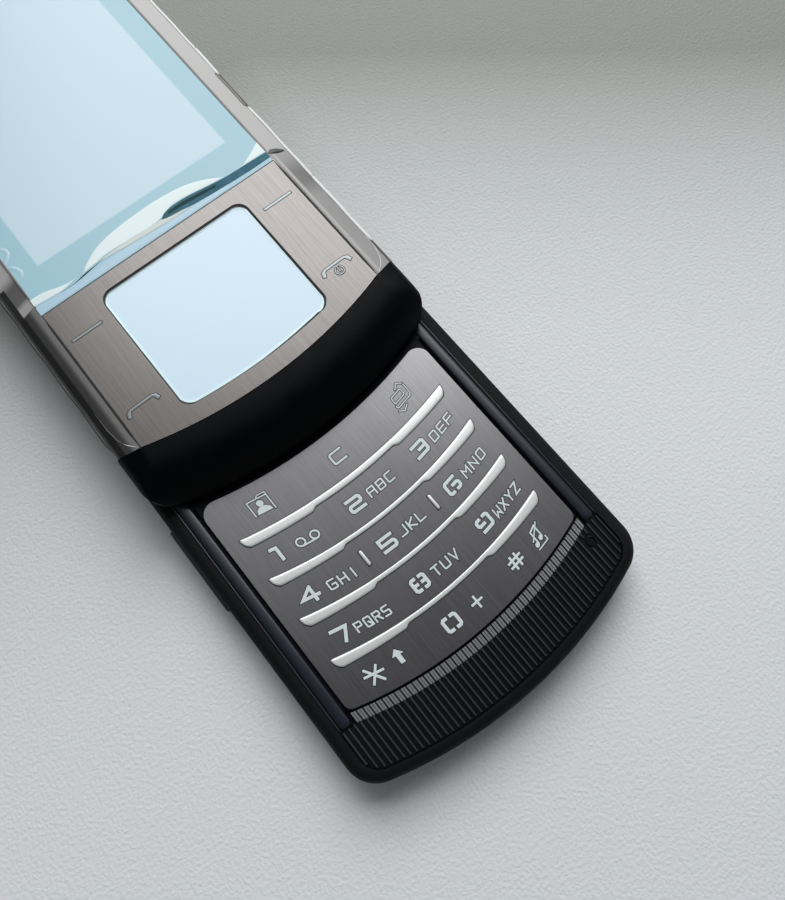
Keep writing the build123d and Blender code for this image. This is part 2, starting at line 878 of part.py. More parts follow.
def slide_carriage():
    """The lower half of the slide: a sheet whose raised flanges run in the guide's channels."""
    y = (carriage_start, carriage_end)
    carriage = block((-web_outer, web_outer), y, (lower_thickness, lower_thickness + carriage_sheet))
    for side in (-1, 1):
        web = sorted((side * web_inner, side * web_outer))
        flange = sorted((side * web_inner, side * flange_half))
        carriage += block(web, y, (lower_thickness, flange_top))
        carriage += block(flange, y, (flange_bottom, flange_top))
        carriage += rod(side * carriage_rivet_x, (y[0] + y[1]) / 2, rivet_radius,
                        lower_thickness, flange_top)
    return carriage - ribbon_window(lower_window_y, 0, sheet_top)


def guide_plate():
    """The upper half of the slide: a sheet with a channel along each side and a stop at each end."""
    y = (guide_start - guide_stop, guide_end + guide_stop)
    guide = block((-guide_half_width, guide_half_width), y, (sheet_bottom, sheet_top))
    for side in (-1, 1):
        wall = sorted((side * channel_half, side * guide_half_width))
        lip = sorted((side * (channel_half - rail_lip), side * guide_half_width))
        guide += block(wall, y, (lip_bottom, sheet_top))
        guide += block(lip, y, (lip_bottom, lip_top))
        for stop in ((y[0], guide_start), (guide_end, y[1])):
            guide += block(lip, stop, (lip_bottom, sheet_bottom))
        guide += rod(side * guide_rivet_x, upper_window_y + window_length / 2, rivet_radius,
                     lower_thickness + carriage_sheet + rail_play, sheet_top)
    return guide - ribbon_window(upper_window_y, 0, closed_thickness)


def slide_springs():
    """Two flat wire springs that push the halves apart at the end of the travel."""
    z = (lower_thickness + carriage_sheet + sheet_bottom) / 2
    inner_y = (carriage_start + carriage_end) / 2
    outer_y = upper_window_y + window_length / 2 + slide_travel
    eye = rivet_radius + seam + spring_wire / 2
    springs = []
    for side in (-1, 1):
        start = (side * carriage_rivet_x, inner_y + eye)
        end = (side * guide_rivet_x, outer_y - eye)
        bow = (side * (carriage_rivet_x + spring_bow), (inner_y + outer_y) / 2)
        path = Pos(0, 0, z) * ThreePointArc(start, bow, end)
        across = Plane(origin=path @ 0, x_dir=(0, 0, 1), z_dir=path % 0)
        wire = sweep(across * Rectangle(spring_wire, spring_wire), path=path)
        for x, y in ((side * carriage_rivet_x, inner_y), (side * guide_rivet_x, outer_y)):
            ring = rod(x, y, eye + spring_wire / 2, z - spring_wire / 2, z + spring_wire / 2)
            wire += ring - rod(x, y, rivet_radius + seam, z - past, z + past)
        springs.append(wire)
    return group(springs)


def ribbon_cable():
    """The flat cable between the two boards, laid out as it is with the phone open."""
    z = (lower_thickness + carriage_sheet + sheet_bottom) / 2
    low_y = lower_window_y + window_length / 2
    high_y = upper_window_y + window_length / 2 + slide_travel
    half = ribbon_thickness / 2
    x = (-ribbon_width / 2, ribbon_width / 2)
    riser = block(x, (low_y - half, low_y + half), (board_top + seam, z + half))
    run = block(x, (low_y - half, high_y + half), (z - half, z + half))
    end = block(x, (high_y - half, high_y + half), (z - half, board_low_z - seam))
    return riser + run + end


# ---------------------------------------------------------------- upper half

def opening_face(grow=0.0):
    """The outline of the nav plate and the glass together, running on below the chin."""
    face = slab(opening_half + grow, upper_low, glass_high + grow)
    return rounded(face, glass_corner + grow, glass_corner + grow)


def upper_shell(form):
    """The underside of the upper half, recessed for the guide plate."""
    shell = form & prism(slab(half_width, 0, body_length), upper_bottom, shell_top)
    shell &= chin_line(seam)
    shell -= block((-guide_half_width - seam, guide_half_width + seam),
                   (guide_start - guide_stop - seam, guide_end + guide_stop + seam),
                   (0, floor_bottom))
    shell -= prism(opening_face(), floor_top, closed_thickness)
    return shell - ribbon_window(upper_window_y, 0, closed_thickness)


def side_frame(form):
    """The metal band round the display."""
    frame = form & prism(slab(half_width, 0, body_length), shell_top + seam, closed_thickness)
    frame &= chin_line(seam)
    return frame - prism(opening_face(), upper_bottom, closed_thickness)


def chin_cap(form):
    """The rounded black chin: its front falls in one curve to the bottom end."""
    centre_y = upper_low + end_radius
    inner = end_radius - chin_slope
    lip = upper_bottom + chin_lip
    rise = frame_top - lip
    middle = (inner + chin_slope * chin_out, lip + rise * chin_up)
    profile = make_face([
        Line((0, upper_bottom), (end_radius, upper_bottom)),
        Line((end_radius, upper_bottom), (end_radius, lip)),
        ThreePointArc((end_radius, lip), middle, (inner, frame_top)),
        Line((inner, frame_top), (0, frame_top)),
        Line((0, frame_top), (0, upper_bottom)),
    ])
    nose = Pos(0, centre_y, 0) * revolve(Plane.XZ * profile, Axis.Z)
    return (form & nose) - chin_line()


def display_glass():
    """The glass over the display, with the earpiece's slot."""
    glass = prism(opening_face(-seam), glass_bottom, glass_top)
    glass &= block((-half_width, half_width), (display_low + seam / 2, body_length), (0, glass_top))
    reach = earpiece_slot_length / 2 - earpiece_slot_width / 2
    y = glass_high - earpiece_drop
    slot = prism(Pos(0, y) * SlotCenterToCenter(2 * reach, earpiece_slot_width),
                 0, closed_thickness + past)
    return glass - slot


def earpiece_mesh():
    """The mesh in the glass's slot."""
    reach = earpiece_slot_length - earpiece_slot_width
    face = Pos(0, glass_high - earpiece_drop) * SlotCenterToCenter(reach, earpiece_slot_width - 2 * seam)
    return prism(face, glass_bottom, glass_top - 2 * seam)


def earpiece():
    """The earpiece's driver, below the mesh."""
    y = glass_high - earpiece_drop
    body = block((-earpiece_width / 2, earpiece_width / 2),
                 (y - earpiece_length / 2, y + earpiece_length / 2),
                 (board_high_z + seam, glass_bottom - seam))
    return fillet(body.edges().filter_by(Axis.Z), earpiece_corner)


def display_module():
    """The display, between the board and the glass."""
    low = display_low + display_start
    half = opening_half - display_side
    return block((-half, half), (low, low + display_length),
                 (board_high_z + seam, glass_bottom - seam))


def upper_board():
    """The upper half's circuit board."""
    board = prism(opening_face(-board_gap), board_low_z, board_high_z)
    return board & prism(above(chin_top + board_gap, chin_radius), 0, closed_thickness)


def pad_face(grow=0.0):
    """The outline of the touch pad's window."""
    half = pad_width / 2 + grow
    face = rectangle((-half, half), (0, pad_high + grow)) & above(pad_low - grow, pad_foot_radius + grow)
    return rounded(face, pad_corner + grow, pad_corner + grow)


def nav_face():
    """The outline of the metal face between the chin and the display."""
    face = opening_face(-seam) & above(chin_top + seam, chin_radius)
    return face & rectangle((-half_width, half_width), (0, display_low - seam / 2))


def nav_plate():
    """The fixed middle of the metal face, round the touch pad."""
    face = nav_face() & rectangle((-nav_inner, nav_inner), (0, body_length))
    return prism(face - pad_face(), nav_bottom, nav_top)


def touch_pad_lens():
    """The pale window that is touched."""
    high = nav_top - pad_recess
    return prism(pad_face(-seam), high - pad_lens_thickness, high)


def touch_pad_module():
    """The touch pad's sensor and light, between the board and the lens."""
    reach = nav_inner - seam
    high = min(nav_bottom, nav_top - pad_recess - pad_lens_thickness) - seam
    return block((-reach, reach), (pad_low - nav_frame, pad_high + nav_frame),
                 (board_high_z + seam, high))


def nav_spans(side, soft):
    """The X and Y spans of one of the four keys beside the touch pad."""
    split = display_low - nav_split
    x = sorted((side * (nav_inner + key_gap), side * (opening_half + past)))
    y = (split + key_gap / 2, display_low) if soft else (0, split - key_gap / 2)
    return x, y


def nav_centre(side, soft):
    """Where one of these keys presses its dome."""
    x = side * (nav_inner + opening_half) / 2
    split = display_low - nav_split
    low = chin_top + sagitta(x, chin_radius)
    return x, (split + display_low) / 2 if soft else (split + low) / 2


def nav_key(side, soft):
    """One of the four keys beside the touch pad: its metal face and its post."""
    x, y = nav_centre(side, soft)
    face = nav_face() & rectangle(*nav_spans(side, soft))
    post_bottom = nav_dome_top() + nav_travel + press_margin
    return prism(face, nav_bottom, nav_top) + rod(x, y, nav_post_radius, post_bottom, nav_bottom)


def nav_dome_top():
    """The top of the domes below the four keys."""
    return board_high_z + dome_sheet_thickness + dome_height


def nav_dome_sheet():
    """The snap domes of the four keys, on the upper board."""
    strips = []
    for side in (-1, 1):
        low = nav_centre(side, False)[1] - dome_radius - dome_sheet_margin
        high = nav_centre(side, True)[1] + dome_radius + dome_sheet_margin
        x = sorted((side * (nav_inner + seam), side * (opening_half - board_gap)))
        strip = block(x, (low, high), (board_high_z, board_high_z + dome_sheet_thickness))
        for soft in (False, True):
            strip += dome(*nav_centre(side, soft), board_high_z + dome_sheet_thickness)
        strips.append(strip)
    return group(strips)


# ---------------------------------------------------------------- the whole phone

def lower_nodes():
    """Every piece of the lower half."""
    form = lower_form()
    nodes = {
        "rear_case": rear_case(form),
        "front_frame": front_frame(),
        "ribbed_grip": ribbed_grip(),
        "ribbed_trim": ribbed_trim(),
        "key_bars": key_bars(),
        "keypad_carrier": keypad_carrier(),
        "dome_sheet": dome_sheet(),
        "main_board": main_board(),
        "battery_pack": battery_pack(),
        "sim_holder": sim_holder(),
        "battery_cover": battery_cover(form),
        "camera_module": camera_module(),
        "camera_bezel": camera_bezel(),
        "camera_window": camera_window(),
        "flash_lens": flash_lens(),
        "loudspeaker": loudspeaker(),
        "vibration_motor": vibration_motor(),
        "antenna": antenna(),
        "bottom_microphone": bottom_microphone(),
        "case_screws": case_screws(),
        "system_connector": system_connector(),
        "volume_rocker": volume_rocker(),
        "camera_key": camera_key(),
        "port_cover": port_cover(form),
        "slide_carriage": slide_carriage(),
        "slide_springs": slide_springs(),
        "ribbon_cable": ribbon_cable(),
    }
    for row, names in enumerate(ROWS):
        for column, name in zip(COLUMNS, names):
            nodes[name] = key_solid(row, column)
    return nodes


def upper_nodes():
    """Every piece of the upper half, drawn closed."""
    form = upper_form()
    return {
        "upper_shell": upper_shell(form),
        "side_frame": side_frame(form),
        "chin_cap": chin_cap(form),
        "display_glass": display_glass(),
        "display_module": display_module(),
        "earpiece": earpiece(),
        "earpiece_mesh": earpiece_mesh(),
        "upper_board": upper_board(),
        "nav_plate": nav_plate(),
        "touch_pad_lens": touch_pad_lens(),
        "touch_pad_module": touch_pad_module(),
        "nav_dome_sheet": nav_dome_sheet(),
        "soft_key_left": nav_key(-1, True),
        "soft_key_right": nav_key(1, True),
        "send_key": nav_key(-1, False),
        "end_key": nav_key(1, False),
        "guide_plate": guide_plate(),
    }


def main():
    os.makedirs("parts", exist_ok=True)
    for nodes, slid in ((lower_nodes(), 0.0), (upper_nodes(), slide_travel)):
        for name, solid in nodes.items():
            placed = Pos(0, slid - origin_y, 0) * solid
            export_step(placed, f"parts/{name}.step")


main()
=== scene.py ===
"""The looks of a slider phone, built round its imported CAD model."""
import json
from math import cos, hypot, pi, radians, sin, sqrt

import bmesh
import bpy
from mathutils import Matrix, Vector


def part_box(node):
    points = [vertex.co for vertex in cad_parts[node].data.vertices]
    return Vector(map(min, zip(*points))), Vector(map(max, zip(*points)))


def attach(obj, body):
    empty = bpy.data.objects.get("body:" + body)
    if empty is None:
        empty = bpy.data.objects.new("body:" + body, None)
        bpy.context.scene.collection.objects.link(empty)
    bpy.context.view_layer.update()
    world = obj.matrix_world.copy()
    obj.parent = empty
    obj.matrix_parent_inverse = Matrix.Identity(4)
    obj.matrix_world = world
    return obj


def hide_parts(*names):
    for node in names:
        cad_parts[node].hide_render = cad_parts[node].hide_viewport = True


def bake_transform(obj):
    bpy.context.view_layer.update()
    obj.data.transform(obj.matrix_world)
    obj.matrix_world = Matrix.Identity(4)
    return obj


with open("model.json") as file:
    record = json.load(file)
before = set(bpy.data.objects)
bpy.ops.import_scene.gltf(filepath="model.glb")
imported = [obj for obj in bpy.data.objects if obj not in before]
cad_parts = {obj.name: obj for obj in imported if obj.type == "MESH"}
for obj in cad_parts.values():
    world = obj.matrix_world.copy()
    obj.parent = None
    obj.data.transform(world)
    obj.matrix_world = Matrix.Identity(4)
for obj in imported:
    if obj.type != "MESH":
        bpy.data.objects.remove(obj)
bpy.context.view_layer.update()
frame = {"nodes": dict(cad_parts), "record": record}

MM = 0.001
NODES = frame["nodes"]

# ---- places in the frame
# All lengths below are in millimetres, and all Y values are counted from Y_START.

Y_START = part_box("rear_case")[0].y / MM - 0.45  # just under the phone's end
KEY_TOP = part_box("key_5")[1].z / MM
NAV_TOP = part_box("nav_plate")[1].z / MM
GLASS_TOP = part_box("display_glass")[1].z / MM
PAD_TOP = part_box("touch_pad_lens")[1].z / MM


def drawn(y):
    """A Y of the frame, in metres, as millimetres from Y_START."""
    return y / MM - Y_START


def in_frame(y):
    """A Y counted from Y_START, as metres in the frame."""
    return (y + Y_START) * MM


def circle(x, radius=1.0):
    """The height of a circle at x."""
    return sqrt(max(0.0, radius * radius - x * x))


def arc(x, radius):
    """How far an arc has left its middle, at x to the side."""
    return radius - circle(x, radius)


def spread(low, high, count):
    """Even steps from low to high."""
    return [low + (high - low) * n / count for n in range(count + 1)]


# ---- shader nodes

FINISHES = {}  # every material under its name, which is its slot's name too


def feed(made, node, socket, given):
    """Links an output to a node's socket, or sets the socket to a value."""
    if isinstance(given, bpy.types.NodeSocket):
        made.node_tree.links.new(given, node.inputs[socket])
    else:
        node.inputs[socket].default_value = given


def add(made, kind, *feeds, out=0, **values):
    """Adds a shader node, feeds its sockets, and gives one of its outputs."""
    node = made.node_tree.nodes.new("ShaderNode" + kind)
    for name, value in values.items():
        setattr(node, name, value)
    for socket, given in feeds:
        feed(made, node, socket, given)
    return node.outputs[out]


def shade(made, socket, given):
    feed(made, made.node_tree.nodes["Principled BSDF"], socket, given)


def maths(made, operation, *values):
    return add(made, "Math", *enumerate(values), operation=operation)


def axis(made, name, space="Object"):
    """One coordinate of the object, or of the way a ray goes."""
    place = add(made, "TexCoord", out=space)
    return add(made, "SeparateXYZ", ("Vector", place), out=name)


def reach(made, value, low, high, start=0.0, end=1.0, steps="LINEAR"):
    """Maps low to high of a value onto start to end."""
    sockets = ("Value", "From Min", "From Max", "To Min", "To Max")
    feeds = zip(sockets, (value, low, high, start, end))
    return add(made, "MapRange", *feeds, interpolation_type=steps)


def ramp(made, value, *stops):
    """Maps a value onto (position, colour) stops."""
    output = add(made, "ValToRGB", ("Fac", value))
    elements = output.node.color_ramp.elements
    while len(elements) < len(stops):
        elements.new(0.5)
    for n, (position, colour) in enumerate(stops):
        elements[n].position = position
        elements[n].color = (*colour, 1.0)
    return output


def noise(made, scale, stretch=(1, 1, 1), detail=2.0):
    """Noise in the object's own space; scale counts features per metre."""
    place = add(made, "TexCoord", out="Object")
    mapping = add(made, "Mapping", ("Vector", place), ("Scale", stretch))
    return add(made, "TexNoise", ("Vector", mapping), ("Scale", scale), ("Detail", detail))


def bump(made, value, height, strength):
    """Raises the surface by up to height where the value is high."""
    feeds = (("Distance", height * MM), ("Strength", strength), ("Height", value))
    shade(made, "Normal", add(made, "Bump", *feeds))


def tinted(colour, factor):
    return tuple(channel * factor for channel in colour)


def drift(made, socket, value, low, high, start):
    """Lets a socket drift between two colours with a value."""
    shade(made, socket, ramp(made, value, (start, low), (1 - start, high)))


def vary(made, value, colour, by):
    drift(made, "Base Color", value, tinted(colour, 1 - by), tinted(colour, 1 + by), 0.35)


def vary_roughness(made, value, low, high):
    drift(made, "Roughness", value, (low, low, low), (high, high, high), 0.3)


# ---- materials

def material(name, colour, rough, metallic=0.0, specular=0.5):
    """A new Principled material, kept in FINISHES."""
    made = bpy.data.materials.new(name)
    made.use_nodes = True
    FINISHES[name] = made
    shade(made, "Base Color", (*colour, 1.0))
    shade(made, "Roughness", rough)
    shade(made, "Metallic", metallic)
    shade(made, "Specular IOR Level", specular)
    return made


def soft_touch(name, colour, rough, specular=0.11):
    """Rubbery black paint with a very fine grain and faint wear."""
    made = material(name, colour, rough, specular=specular)
    bump(made, noise(made, 9000, detail=3.0), 0.012, 0.6)
    vary_roughness(made, noise(made, 260, detail=4.0), rough - 0.06, rough + 0.08)


def moulded(name, colour, rough=0.5, specular=0.5):
    """Plain moulded plastic."""
    made = material(name, colour, rough, specular=specular)
    bump(made, noise(made, 5000), 0.01, 0.5)


def brushed(name, colour, rough, by=0.16):
    """Metal brushed along the phone."""
    made = material(name, colour, rough, 1.0)
    lines = noise(made, 1, (12000, 130, 12000))
    vary(made, lines, colour, by)
    bump(made, lines, 0.002, 0.5)
    vary_roughness(made, noise(made, 1, (9000, 90, 9000)), rough - 0.02, rough + 0.03)


def polished(name, colour, rough, metallic=1.0):
    made = material(name, colour, rough, metallic)
    bump(made, noise(made, 1, (7000, 500, 7000)), 0.0015, 0.4)


def lacquer(name, colour, rough):
    """Glossy lacquered plastic with a faint orange peel."""
    made = material(name, colour, rough)
    shade(made, "Coat Weight", 0.6)
    shade(made, "Coat Roughness", 0.04)
    bump(made, noise(made, 900, detail=1.0), 0.002, 0.4)


def sheen(name, colour, rough=0.3):
    """A pale window or film: colour first, with a soft reflection."""
    made = material(name, colour, rough, specular=0.3)
    bump(made, noise(made, 600, detail=1.0), 0.002, 0.4)
    return made


def dull(name, colour):
    """A shaded fold of film, with hardly any reflection."""
    made = material(name, colour, 0.6, specular=0.08)
    vary(made, noise(made, 500), colour, 0.15)


def haze_and_shade(name, direction, stops):
    """Film on the metal band: its lightness follows (place, lightness) stops along X or Y, which
    paint the band's light and shade along with the film's grey.
    """
    tones = [tinted(HAZE_TINT, level) for _, level in stops]
    made = sheen(name, tones[0])
    low, high = stops[0][0], stops[-1][0]
    start, end = (in_frame(low), in_frame(high)) if direction == "Y" else (low * MM, high * MM)
    along = reach(made, axis(made, direction), start, end)
    places = [(place - low) / (high - low) for place, _ in stops]
    shade(made, "Base Color", ramp(made, along, *zip(places, tones)))


def picture(name):
    """The display's glass: a pale picture area in a bluer border; both colours hold a painted
    reflection of a bright sky on its film.
    """
    made = sheen(name, DISPLAY_BORDER)
    edge = DISPLAY_BLUR / 2
    aside = maths(made, "ABSOLUTE", axis(made, "X"))
    span = ((PICTURE_HALF - edge) * MM, (PICTURE_HALF + edge) * MM)
    inside = reach(made, aside, *span, 1.0, 0.0, "SMOOTHSTEP")
    for y, ends in zip(PICTURE_SPAN, ((0.0, 1.0), (1.0, 0.0))):
        span = (in_frame(y - edge), in_frame(y + edge))
        cut = reach(made, axis(made, "Y"), *span, *ends, "SMOOTHSTEP")
        inside = maths(made, "MULTIPLY", inside, cut)
    shade(made, "Base Color", ramp(made, inside, (0.0, DISPLAY_BORDER), (1.0, DISPLAY_PICTURE)))


# Pale partly by the film's tint and partly by a painted reflection of a bright sky.
DISPLAY_BORDER = (0.34, 0.56, 0.64)
DISPLAY_PICTURE = (0.54, 0.7, 0.77)
DISPLAY_BLUR = 0.5
PICTURE_HALF = 17.1
PICTURE_SPAN = (92.25, 143.2)
HAZE_TINT = (1.0, 0.985, 0.955)

# The finishes of the CAD nodes' slots.
soft_touch("soft_touch_black", (0.006, 0.0065, 0.007), 0.62)
soft_touch("cover_black", (0.008, 0.0085, 0.009), 0.56)
soft_touch("chin_black", (0.0009, 0.0012, 0.0018), 0.42, 0.06)
moulded("ribbed_black", (0.0025, 0.003, 0.004), 0.3, 0.3)
moulded("gloss_black", (0.003, 0.0035, 0.006), 0.5, 0.07)
moulded("shell_black", (0.013, 0.014, 0.016))
moulded("side_key_black", (0.014, 0.014, 0.016), 0.4)
moulded("inner_plastic", (0.03, 0.03, 0.035))
moulded("battery_label", (0.2, 0.22, 0.26), 0.4)
moulded("dome_film", (0.7, 0.7, 0.66), 0.4)
brushed("brushed_key", (0.203, 0.198, 0.203), 0.34, 0.1)
brushed("brushed_nav", (0.124, 0.116, 0.111), 0.31, 0.1)
brushed("metal_band", (0.18, 0.172, 0.16), 0.27, 0.3)
brushed("slide_steel", (0.33, 0.34, 0.36), 0.38)
brushed("inner_metal", (0.5, 0.5, 0.52), 0.3)
polished("polished_bar", (0.72, 0.74, 0.715), 0.36, 0.35)
polished("bright_trim", (0.27, 0.283, 0.288), 0.4, 0.6)
polished("spring_steel", (0.5, 0.5, 0.52), 0.25)
polished("screw_steel", (0.12, 0.12, 0.13), 0.3)
polished("bezel_metal", (0.45, 0.45, 0.47), 0.18)
lacquer("circuit_board", (0.01, 0.09, 0.045), 0.3)
lacquer("ribbon", (0.5, 0.22, 0.03), 0.3)
lacquer("panel", (0.03, 0.035, 0.04), 0.15)
lacquer("lens_glass", (0.004, 0.004, 0.008), 0.03)
lacquer("flash_clear", (0.75, 0.74, 0.6), 0.2)
picture("display_glass")
# The pad's window: pale blue, partly its film's tint and partly a painted reflection of a bright
# sky.
sheen("pad_window", (0.67, 0.83, 0.94))

# The finishes of the pieces that are made below.
moulded("ridge_black", (0.008, 0.011, 0.02), 0.36)
# Painted highlight: a lighter colour on the ribs' crests, where light glints along them.
moulded("rib_crest_highlight", (0.022, 0.024, 0.026), 0.45)
# Black for dark joints, slots and holes, and also for painted shade: the widened seam round the
# touch pad and the dark outer side of the band's film.
moulded("gap_and_shade_black", (0.004, 0.004, 0.005), 0.7)
moulded("marking_light", (0.66, 0.73, 0.73), 0.4)
moulded("marking_edge", (0.022, 0.022, 0.026), 0.6)
polished("nav_marking", (0.185, 0.203, 0.208), 0.4)
# Painted highlight: the bright bead inside the touch pad's rim.
sheen("pad_bead_glint", (0.8, 1.0, 1.0), 0.12)
# Painted shade: the soft edge of the dark seam round the touch pad.
sheen("rim_grey", (0.22, 0.29, 0.32))
# Painted highlight: the white of loose film where it catches light.
sheen("film_white_glint", (0.74, 0.84, 0.84), 0.25)
sheen("film_beige", (0.58, 0.64, 0.6), 0.25)
sheen("film_blue", (0.42, 0.6, 0.71), 0.25)
# Painted light: a lighter strip on the right side of the band, beside its seam.
sheen("film_pale_lit", (0.39, 0.38, 0.365))
# Painted highlight: the bright line where the film's folded edge catches light.
sheen("film_edge_glint", (0.7, 0.72, 0.7), 0.2)
sheen("film_shade", (0.05, 0.055, 0.05))
sheen("film_grey", (0.15, 0.145, 0.135))
dull("film_teal", (0.055, 0.15, 0.2))
dull("film_deep", (0.018, 0.055, 0.062))
# Clear film over the metal band looks grey and hazy, lighter towards the display's end. The stops
# also paint light and shade: on the left a lit inner strip and a dark outer side, and darker dips
# on both sides where the band lies in shade.
haze_and_shade("film_left_foot", "X", (
    (-24.2, 0.012), (-23.3, 0.014), (-23.15, 0.05), (-22.45, 0.055), (-22.1, 0.11),
    (-21.8, 0.2), (-21.1, 0.25)))
haze_and_shade("film_left", "Y", (
    (86.7, 0.3), (87.3, 0.42), (88.2, 0.42), (89.1, 0.14), (92, 0.13), (93.9, 0.45), (147, 0.5)))
haze_and_shade("film_right", "Y", (
    (59, 0.29), (76, 0.265), (79.3, 0.15), (81.6, 0.15), (84.6, 0.28), (86.3, 0.3),
    (86.8, 0.43), (104, 0.45), (147, 0.5)))


def dress_frame():
    """Gives every CAD node the finish of its slot."""
    for part in frame["record"]["subparts"]:
        mesh = NODES[part["node"]].data
        mesh.materials.clear()
        mesh.materials.append(FINISHES[part["material_slot"]])


# ---- shapes in mesh code

class Shape:
    """Points and faces of a piece being made; a face's tone numbers its material."""

    def __init__(self):
        self.points = []
        self.faces = []
        self.tones = []

    def add(self, points):
        start = len(self.points)
        self.points.extend(points)
        return list(range(start, len(self.points)))

    def face(self, corners, tone=0):
        self.faces.append(corners)
        self.tones.append(tone)

    def skin(self, first, second, tone=0):
        """Joins one ring of points to the next."""
        for n in range(len(first)):
            m = (n + 1) % len(first)
            self.face([first[n], first[m], second[m], second[n]], tone)

    def tube(self, rings, tone=0, closed=False):
        """Skins rings of points; the two ends are capped unless it closes on itself."""
        rings = [self.add(ring) for ring in rings]
        for first, second in zip(rings, rings[1:] + rings[:1] if closed else rings[1:]):
            self.skin(first, second, tone)
        if not closed:
            self.face(rings[0][::-1], tone)
            self.face(rings[-1], tone)

    def plate(self, outline, low, high, tone=0):
        """A flat plate with the outline of (x, y) points."""
        self.tube([[(x, y, z) for x, y in outline] for z in (low, high)], tone)


def new_object(name, data):
    made = bpy.data.objects.new(name, data)
    bpy.context.scene.collection.objects.link(made)
    return made


def piece(name, body, shape, finishes, crease=38, replaces=()):
    """Makes a shape an object that rides on a body; its slot is by default its first finish."""
    mesh = bpy.data.meshes.new(name)
    points = [(x * MM, in_frame(y), z * MM) for x, y, z in shape.points]
    mesh.from_pydata(points, [], shape.faces)
    for finish in finishes:
        mesh.materials.append(FINISHES[finish])
    mesh.polygons.foreach_set("material_index", shape.tones)
    build = bmesh.new()
    build.from_mesh(mesh)
    bmesh.ops.recalc_face_normals(build, faces=build.faces)
    build.to_mesh(mesh)
    build.free()
    mesh.shade_smooth()
    mesh.set_sharp_from_angle(angle=radians(crease))
    made = new_object(name, mesh)
    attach(made, body)
    if replaces:
        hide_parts(*replaces)


# Sections of strips: places across, and shares of the height; None is sunk in what it lies on.
STRIP = ((-1, None), (-0.9, 0.7), (-0.5, 1), (0.5, 1), (0.9, 0.7), (1, None))
DOME = (-1.0, -0.97, -0.9, -0.75, -0.5, 0.0, 0.5, 0.75, 0.9, 0.97, 1.0)
SUNK = 0.03  # strips reach this far into what they lie on


def directions(line, n, closed):
    """Unit vectors into and out of a point of a line."""
    count = len(line)
    ends = []
    for first, second in ((n - 1, n), (n, n + 1)):
        if closed or 0 <= first and second < count:
            step = Vector(line[second % count]) - Vector(line[first % count])
            ends.append(step.normalized())
    return ends[0], ends[-1]


def strip(shape, line, half, base, rise, tone=0, closed=False, cap=1.0, section=STRIP):
    """A low rounded strip along (x, y) points, with mitred corners and square ends."""
    rings = []
    for n, point in enumerate(line):
        before, after = directions(line, n, closed)
        side = Vector((-before.y - after.y, before.x + after.x)).normalized()
        width = half / max(0.4, side.dot(Vector((-before.y, before.x))))
        centre = Vector(point)
        if not closed and n == 0:
            centre = centre - after * half * cap
        if not closed and n == len(line) - 1:
            centre = centre + before * half * cap
        rings.append([(*(centre + side * (width * across)),
                       base - SUNK if height is None else base + rise * height)
                      for across, height in section])
    shape.tube(rings, tone, closed)


def flat_dome(t):
    """The height of a section with a nearly flat top and round edges."""
    return sqrt(1 - abs(t) ** 4)


def bar_dome(t):
    return sqrt(1 - abs(t) ** 7)


def hoop(x, y, across, base, rise, profile=circle, sunk=SUNK):
    """A domed section of a strip; across is the way from its middle to its edge."""
    ring = [(x + across[0] * t, y + across[1] * t, base + rise * profile(t)) for t in DOME]
    for end in (0, -1):
        ring[end] = (*ring[end][:2], base - sunk)
    return ring


# ---- markings

GRID_X = (-0.5, -0.09, 0.0, 0.09, 0.5)
GRID_Y = (0.5, 0.22, 0.0, -0.22, -0.5)
# Each letter of a stroke is one of 25 grid points, a to e along the top and u to y along
# the bottom. A capital is a corner that is cut off, and the first point again closes it.
STROKES = {
    "A": "uAey ko", "B": "uaEYu ko", "C": "eAUy", "D": "uaEYu", "E": "eauy ko", "F": "uae ko",
    "G": "eAUYom", "H": "au ey ko", "I": "cw", "J": "eYu", "K": "au eky", "L": "auy",
    "M": "uamey", "N": "uaye", "O": "AEYUA", "P": "uaEOk", "Q": "AEYUA my", "R": "uaEOk my",
    "S": "eAKOYu", "T": "ae cw", "U": "aUYe", "V": "awe", "W": "aumye", "X": "ay eu",
    "Y": "am em mw", "Z": "aeuy",
    "1": "acw", "2": "aEOKUy", "3": "aEYu lo", "5": "eakOYu", "6": "vUAe xYOl",
    "7": "aew", "8": "bAUv dEYx kl no", "9": "dEYu bAKn", "0": "bAUv dEYx", "+": "cw ko",
}
# Glyphs whose corners lie off that grid, as shares of the glyph's size.
OWN_STROKES = {
    "4": (((0.22, 0.5), (-0.5, -0.2), (0.5, -0.2)), ((0.22, 0.5), (0.22, -0.5))),
    "#": (((-0.2, 0.5), (-0.2, -0.5)), ((0.2, 0.5), (0.2, -0.5)),
          ((-0.5, 0.2), (0.5, 0.2)), ((-0.5, -0.2), (0.5, -0.2))),
    "*": (((-0.42, 0.6), (0.34, -0.6)), ((0.38, 0.6), (-0.38, -0.6)), ((-0.62, 0.1), (0.6, 0.08))),
}
STRETCH = {"1": (0.75, 1.05), "4": (1.12, 1.1), "7": (1.0, 1.05), "I": (0.5, 1.0)}
SPLIT = "8069"  # digits whose halves stand apart
SLENDER = {"#": 0.19, "*": 0.19}
CUT = 0.12  # of the shorter side, taken off a cut corner
CAP = 0.9  # how far a stroke runs past its end point, in half widths
MARK_RISE = 0.03
EDGE_RISE = 0.012
LIFT = 0.003  # each further stroke of a glyph lies this much higher
EDGE_WIDTH = 0.13  # dark line round a marking
MARKING = ("marking_light", "marking_edge")
NAV_MARKING = ("nav_marking", "marking_edge")

DIGIT_SIZE, DIGIT_HALF = (2.12, 1.82), 0.27
LETTER_SIZE, LETTER_HALF = (1.05, 1.35), 0.135
LETTER_PITCH = {3: 1.66, 4: 1.4}
ROW_RADIUS = 66.0  # markings follow arcs of this radius
